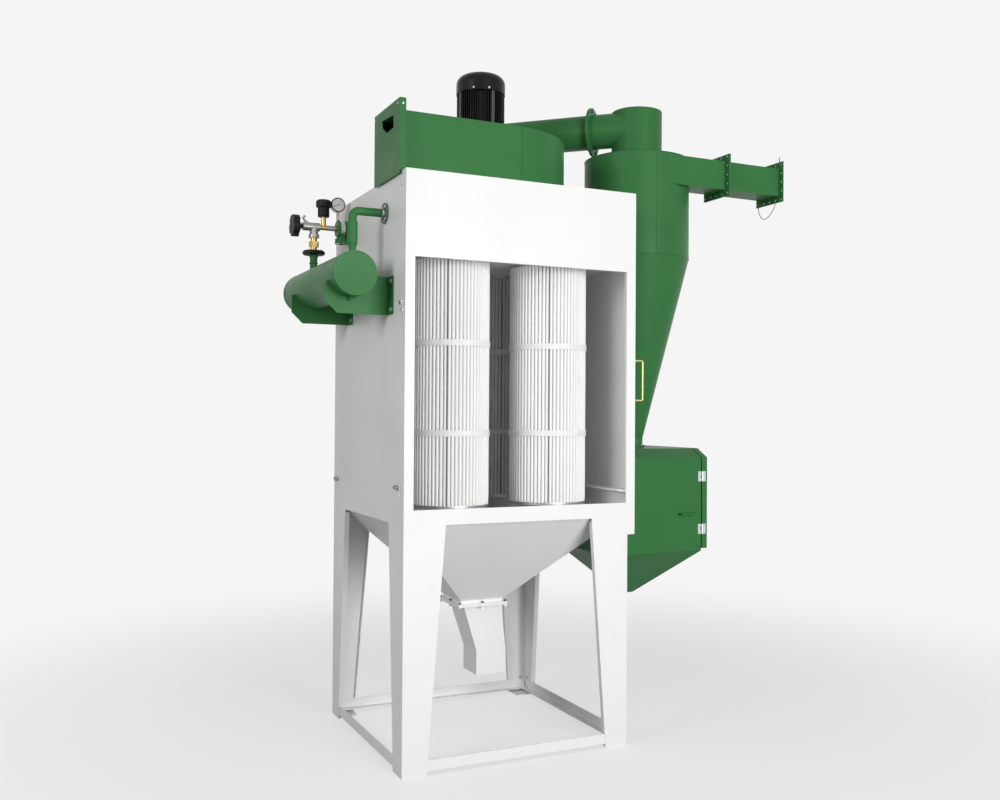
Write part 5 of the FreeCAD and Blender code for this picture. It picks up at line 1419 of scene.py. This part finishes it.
@dataclass
class HousingTrim(SubAssembly):
    """Latches, tie bolts and the hopper's flange fittings."""

    latch_from_front: float = 46.0
    latch_levels: tuple[float, float] = (1088.0, 1794.0)
    rear_latch_inset: float = 14.0
    rear_latch_level: float = 1072.0
    latch_size: tuple[float, float, float] = (5.0, 24.0, 14.0)
    wire_stand: float = 6.0
    wire_line: Line = (
        (8, 5), (30, 7), (56, 2), (60, -3), (30, -8), (8, -6),
    )
    catches: Line = ((30, 1767), (40, 1063))
    catch_size: tuple[float, float, float] = (5.0, 14.0, 12.0)
    catch_drop: float = 7.0
    plate_bevel: float = 0.5
    wall_screw: tuple[float, float] = (47.0, 2244.0)
    leg_sheet: float = 4.0
    tie_bolt_rise: float = 9.0
    tie_bolt_inset: float = 24.0
    right_tie_bolt_inset: float = 30.0
    flange_bolt_inset: float = 7.5
    chute_flange: float = 6.0
    neck_inset: float = 14.6

    def build(self) -> None:
        """Make the latches, the bolts and the neck's bead."""
        self.hang_latches()
        self.bolt_ties()
        self.bolt_flange()
        self.seal_neck()

    def hang_latches(self) -> None:
        """Fit the wire latches that held the front door and the rear panel."""
        low, high = span("housing_front_frame")
        rear = span("housing_back_wall")[1].y - self.rear_latch_inset
        left, right = (low.x, -1), (high.x, 1)
        lower, upper = self.latch_levels
        size = Vector(self.latch_size)
        plates = []
        wires = []
        for (face, out), deep, level, way in (
            (left, self.latch_from_front, lower, 1), (right, self.latch_from_front, lower, 1),
            (left, self.latch_from_front, upper, 0), (right, self.latch_from_front, upper, 0),
            (left, rear, self.rear_latch_level, -1),
        ):
            near = min(face, face + size.x * out)
            first = Vector((near, deep - size.y / 2, level - size.z / 2))
            plates.append(slab("latch", first, first + size, self.plate_bevel))
            if way:
                across = face + self.wire_stand * out
                loop = [at(across, deep + along * way, level + up) for along, up in self.wire_line]
                wires.append((loop, True))
        size = Vector(self.catch_size)
        for deep, level in self.catches:
            first = Vector((low.x - size.x, deep - size.y / 2, level - self.catch_drop))
            plates.append(slab("catch", first, first + size, self.plate_bevel))
        settle("latch_plates", merged("latch_plates", plates), ZINC, Rider.MACHINE)
        self.shop.run_bar("latch_wires", wires, 2.0, DARK_ZINC, step=5.0)
        screw = Vector((low.x, *self.wall_screw))
        self.shop.fasten("wall_screws", [(screw, LEFT)], across_flats=5, head=2.5, washer=3.6)

    def bolt_ties(self) -> None:
        """Bolt the floor ties to the insides of the rear legs."""
        level = span("stand_cross_ties")[1].z + self.tie_bolt_rise
        left_low, left_high = span("leg_back_left")
        back = left_high.y - self.leg_sheet
        left = left_low.x + self.leg_sheet
        right = span("leg_back_right")[1].x - self.leg_sheet
        side = back - self.tie_bolt_inset
        points = [
            (Vector((left + self.tie_bolt_inset, back, level)), FRONT),
            (Vector((right - self.right_tie_bolt_inset, back, level)), FRONT),
            (Vector((left, side, level)), RIGHT),
            (Vector((right, side, level)), LEFT),
        ]
        self.shop.fasten("tie_bolts", points, across_flats=10, head=4, washer=8, washer_height=1.0)

    def bolt_flange(self) -> None:
        """Bolt the chute's flange up to the hopper's."""
        low, high = span("hopper_outlet_flange")
        centre = (low + high) / 2
        reach = (high.x - low.x) / 2 - self.flange_bolt_inset
        under = span("discharge_chute")[1].z - self.chute_flange
        heads = []
        nuts = []
        for across in (-1, 0, 1):
            for deep in (-1, 0, 1):
                if across or deep:
                    place = Vector((centre.x + reach * across, centre.y + reach * deep, high.z))
                    heads.append((place, UP))
                    nuts.append((Vector((place.x, place.y, under)), DOWN))
        self.shop.fasten("hopper_flange_bolts", heads, DARK_ZINC, across_flats=9, head=5, washer=6)
        self.shop.fasten("hopper_flange_nuts", nuts, across_flats=9, head=8, washer=6)

    def seal_neck(self) -> None:
        """Seal the hopper's neck with a bead."""
        low, high = span("hopper_outlet_flange")
        left, right = low.x + self.neck_inset, high.x - self.neck_inset
        front, back = low.y + self.neck_inset, high.y - self.neck_inset
        corners = ((left, front), (right, front), (right, back), (left, back))
        rim = [at(across, deep, high.z) for across, deep in corners]
        self.seam("hopper_neck_seal", [(rim, True)], 1.2, WHITE_POWDER)


@dataclass
class Studio:
    """Pale floor, soft lamps and the camera at the photograph's angle."""

    camera: tuple[float, float, float] = (-1308.61, -3612.37, 1375.28)
    yaw: float = 25.2747
    pitch: float = 0.7335
    roll: float = 0.378
    focal_px: float = 1017.26
    frame_px: float = 1000.0
    sensor_mm: float = 36.0
    floor: str = "a6a6a6"
    shown_floor: str = "f3f3f3"
    backdrop: str = "f5f5f5"
    shadow_share: float = 0.35
    fade_from_m: float = 1.0
    fade_to_m: float = 4.0
    floor_reach_m: float = 60.0
    ambient: float = 0.27
    key_watts: float = 330.0
    side_watts: float = 85.0

    def build(self) -> None:
        """Make the floor, the world, the lamps and the camera."""
        self.lay_floor()
        self.light_world()
        self.hang_lamps()
        self.set_camera()
        LOG.info("studio: floor, world, lamps and camera")

    def seen_by_eye(self, tree: bpy.types.NodeTree) -> bpy.types.NodeSocket:
        """One where a ray comes from the camera, or off metal or glass.

        Args:
            tree: The tree that the nodes go into.

        Returns:
            The socket that carries it.
        """
        path = add_node(tree, "ShaderNodeLightPath")
        straight = add_node(
            tree, "ShaderNodeMath",
            {0: path.outputs["Is Camera Ray"], 1: path.outputs["Is Transmission Ray"]},
            operation="MAXIMUM",
        )
        both = add_node(
            tree, "ShaderNodeMath",
            {0: straight, 1: path.outputs["Is Glossy Ray"]},
            operation="MAXIMUM",
        )
        return both.outputs[0]

    def lay_floor(self) -> None:
        """Lay a wide pale floor that keeps the machine's shadow and throws little light back up."""
        material = bpy.data.materials.new("studio_floor")
        material.use_nodes = True
        tree = material.node_tree
        tree.nodes.clear()
        place = add_node(tree, "ShaderNodeTexCoord")
        away = add_node(tree, "ShaderNodeVectorMath", {0: place.outputs["Object"]}, operation="LENGTH")
        plain = add_node(
            tree, "ShaderNodeMapRange",
            {
                1: self.fade_from_m,
                2: self.fade_to_m,
                3: 1.0 - self.shadow_share,
                4: 1.0,
                0: away.outputs["Value"],
            },
            interpolation_type="SMOOTHSTEP",
        )
        lit = add_node(tree, "ShaderNodeBsdfDiffuse", {"Color": linear(self.shown_floor)})
        even = add_node(tree, "ShaderNodeEmission", {"Color": linear(self.backdrop), "Strength": 1.0})
        shown = add_node(tree, "ShaderNodeMixShader", {0: plain, 1: lit, 2: even})
        dull = add_node(tree, "ShaderNodeBsdfDiffuse", {"Color": linear(self.floor)})
        shader = add_node(
            tree, "ShaderNodeMixShader", {0: self.seen_by_eye(tree), 1: dull, 2: shown}
        )
        add_node(tree, "ShaderNodeOutputMaterial", {0: shader})
        mesh = bpy.data.meshes.new("studio_floor")
        reach = self.floor_reach_m
        corners = [(-reach, -reach, 0), (reach, -reach, 0), (reach, reach, 0), (-reach, reach, 0)]
        mesh.from_pydata(corners, [], [(0, 1, 2, 3)])
        mesh.materials.append(material)
        floor = bpy.data.objects.new("studio_floor", mesh)
        bpy.context.scene.collection.objects.link(floor)

    def light_world(self) -> None:
        """Light the machine from all round, and show the eye and reflections a pale backdrop."""
        world = bpy.data.worlds.new("studio_world")
        world.use_nodes = True
        bpy.context.scene.world = world
        tree = world.node_tree
        tree.nodes.clear()
        soft = add_node(
            tree, "ShaderNodeBackground", {"Color": linear("ffffff"), "Strength": self.ambient}
        )
        plain = add_node(
            tree, "ShaderNodeBackground", {"Color": linear(self.backdrop), "Strength": 1.0}
        )
        mix = add_node(
            tree, "ShaderNodeMixShader", {0: self.seen_by_eye(tree), 1: soft, 2: plain}
        )
        add_node(tree, "ShaderNodeOutputWorld", {0: mix})

    def hang_lamps(self) -> None:
        """Hang a large soft key lamp in front and a weaker one to the left."""
        lamps = (
            ("key_lamp", (0.5, -7.0, 1.9), (0.0, 0.0, 1.2), 3.0, self.key_watts),
            ("side_lamp", (-5.5, -2.2, 3.0), (0.0, 0.0, 1.6), 2.0, self.side_watts),
        )
        for name, place, target, side, watts in lamps:
            light = bpy.data.lights.new(name, "AREA")
            light.energy = watts
            light.size = side
            lamp = bpy.data.objects.new(name, light)
            bpy.context.scene.collection.objects.link(lamp)
            lamp.location = place
            lamp.rotation_euler = (Vector(target) - Vector(place)).to_track_quat("-Z", "Y").to_euler()

    def set_camera(self) -> None:
        """Stand the camera where the photograph was taken from."""
        yaw = math.radians(self.yaw)
        pitch = math.radians(self.pitch)
        roll = math.radians(self.roll)
        level = math.cos(pitch)
        ahead = Vector((math.sin(yaw) * level, math.cos(yaw) * level, math.sin(pitch)))
        right = Vector((math.cos(yaw), -math.sin(yaw), 0))
        up = right.cross(ahead)
        tilted = right * math.cos(roll) + up * math.sin(roll)
        upright = up * math.cos(roll) - right * math.sin(roll)
        matrix = Matrix((tilted, upright, -ahead)).transposed().to_4x4()
        matrix.translation = at(*self.camera)
        lens = bpy.data.cameras.new("camera")
        lens.sensor_width = self.sensor_mm
        lens.sensor_fit = "HORIZONTAL"
        lens.lens = self.focal_px / self.frame_px * self.sensor_mm
        camera = bpy.data.objects.new("camera", lens)
        bpy.context.scene.collection.objects.link(camera)
        camera.matrix_world = matrix
        bpy.context.scene.camera = camera


def main() -> None:
    """Dress the machine and set the studio up."""
    logging.basicConfig(level=logging.INFO, format="%(message)s")
    for part in frame["record"]["subparts"]:
        dress(OWN_FINISHES.get(part["node"], SLOT_FINISHES[part["material_slot"]]), part["node"])
    shop = Workshop()
    for made in (FilterCartridges, RoofFan, Cyclone, GritBin, AirTrain, HousingTrim):
        made(shop).build()
        LOG.info("%s done", made.__name__)
    Studio().build()
    bpy.context.scene.view_settings.view_transform = "Standard"


if __name__ == "__main__":
    main()
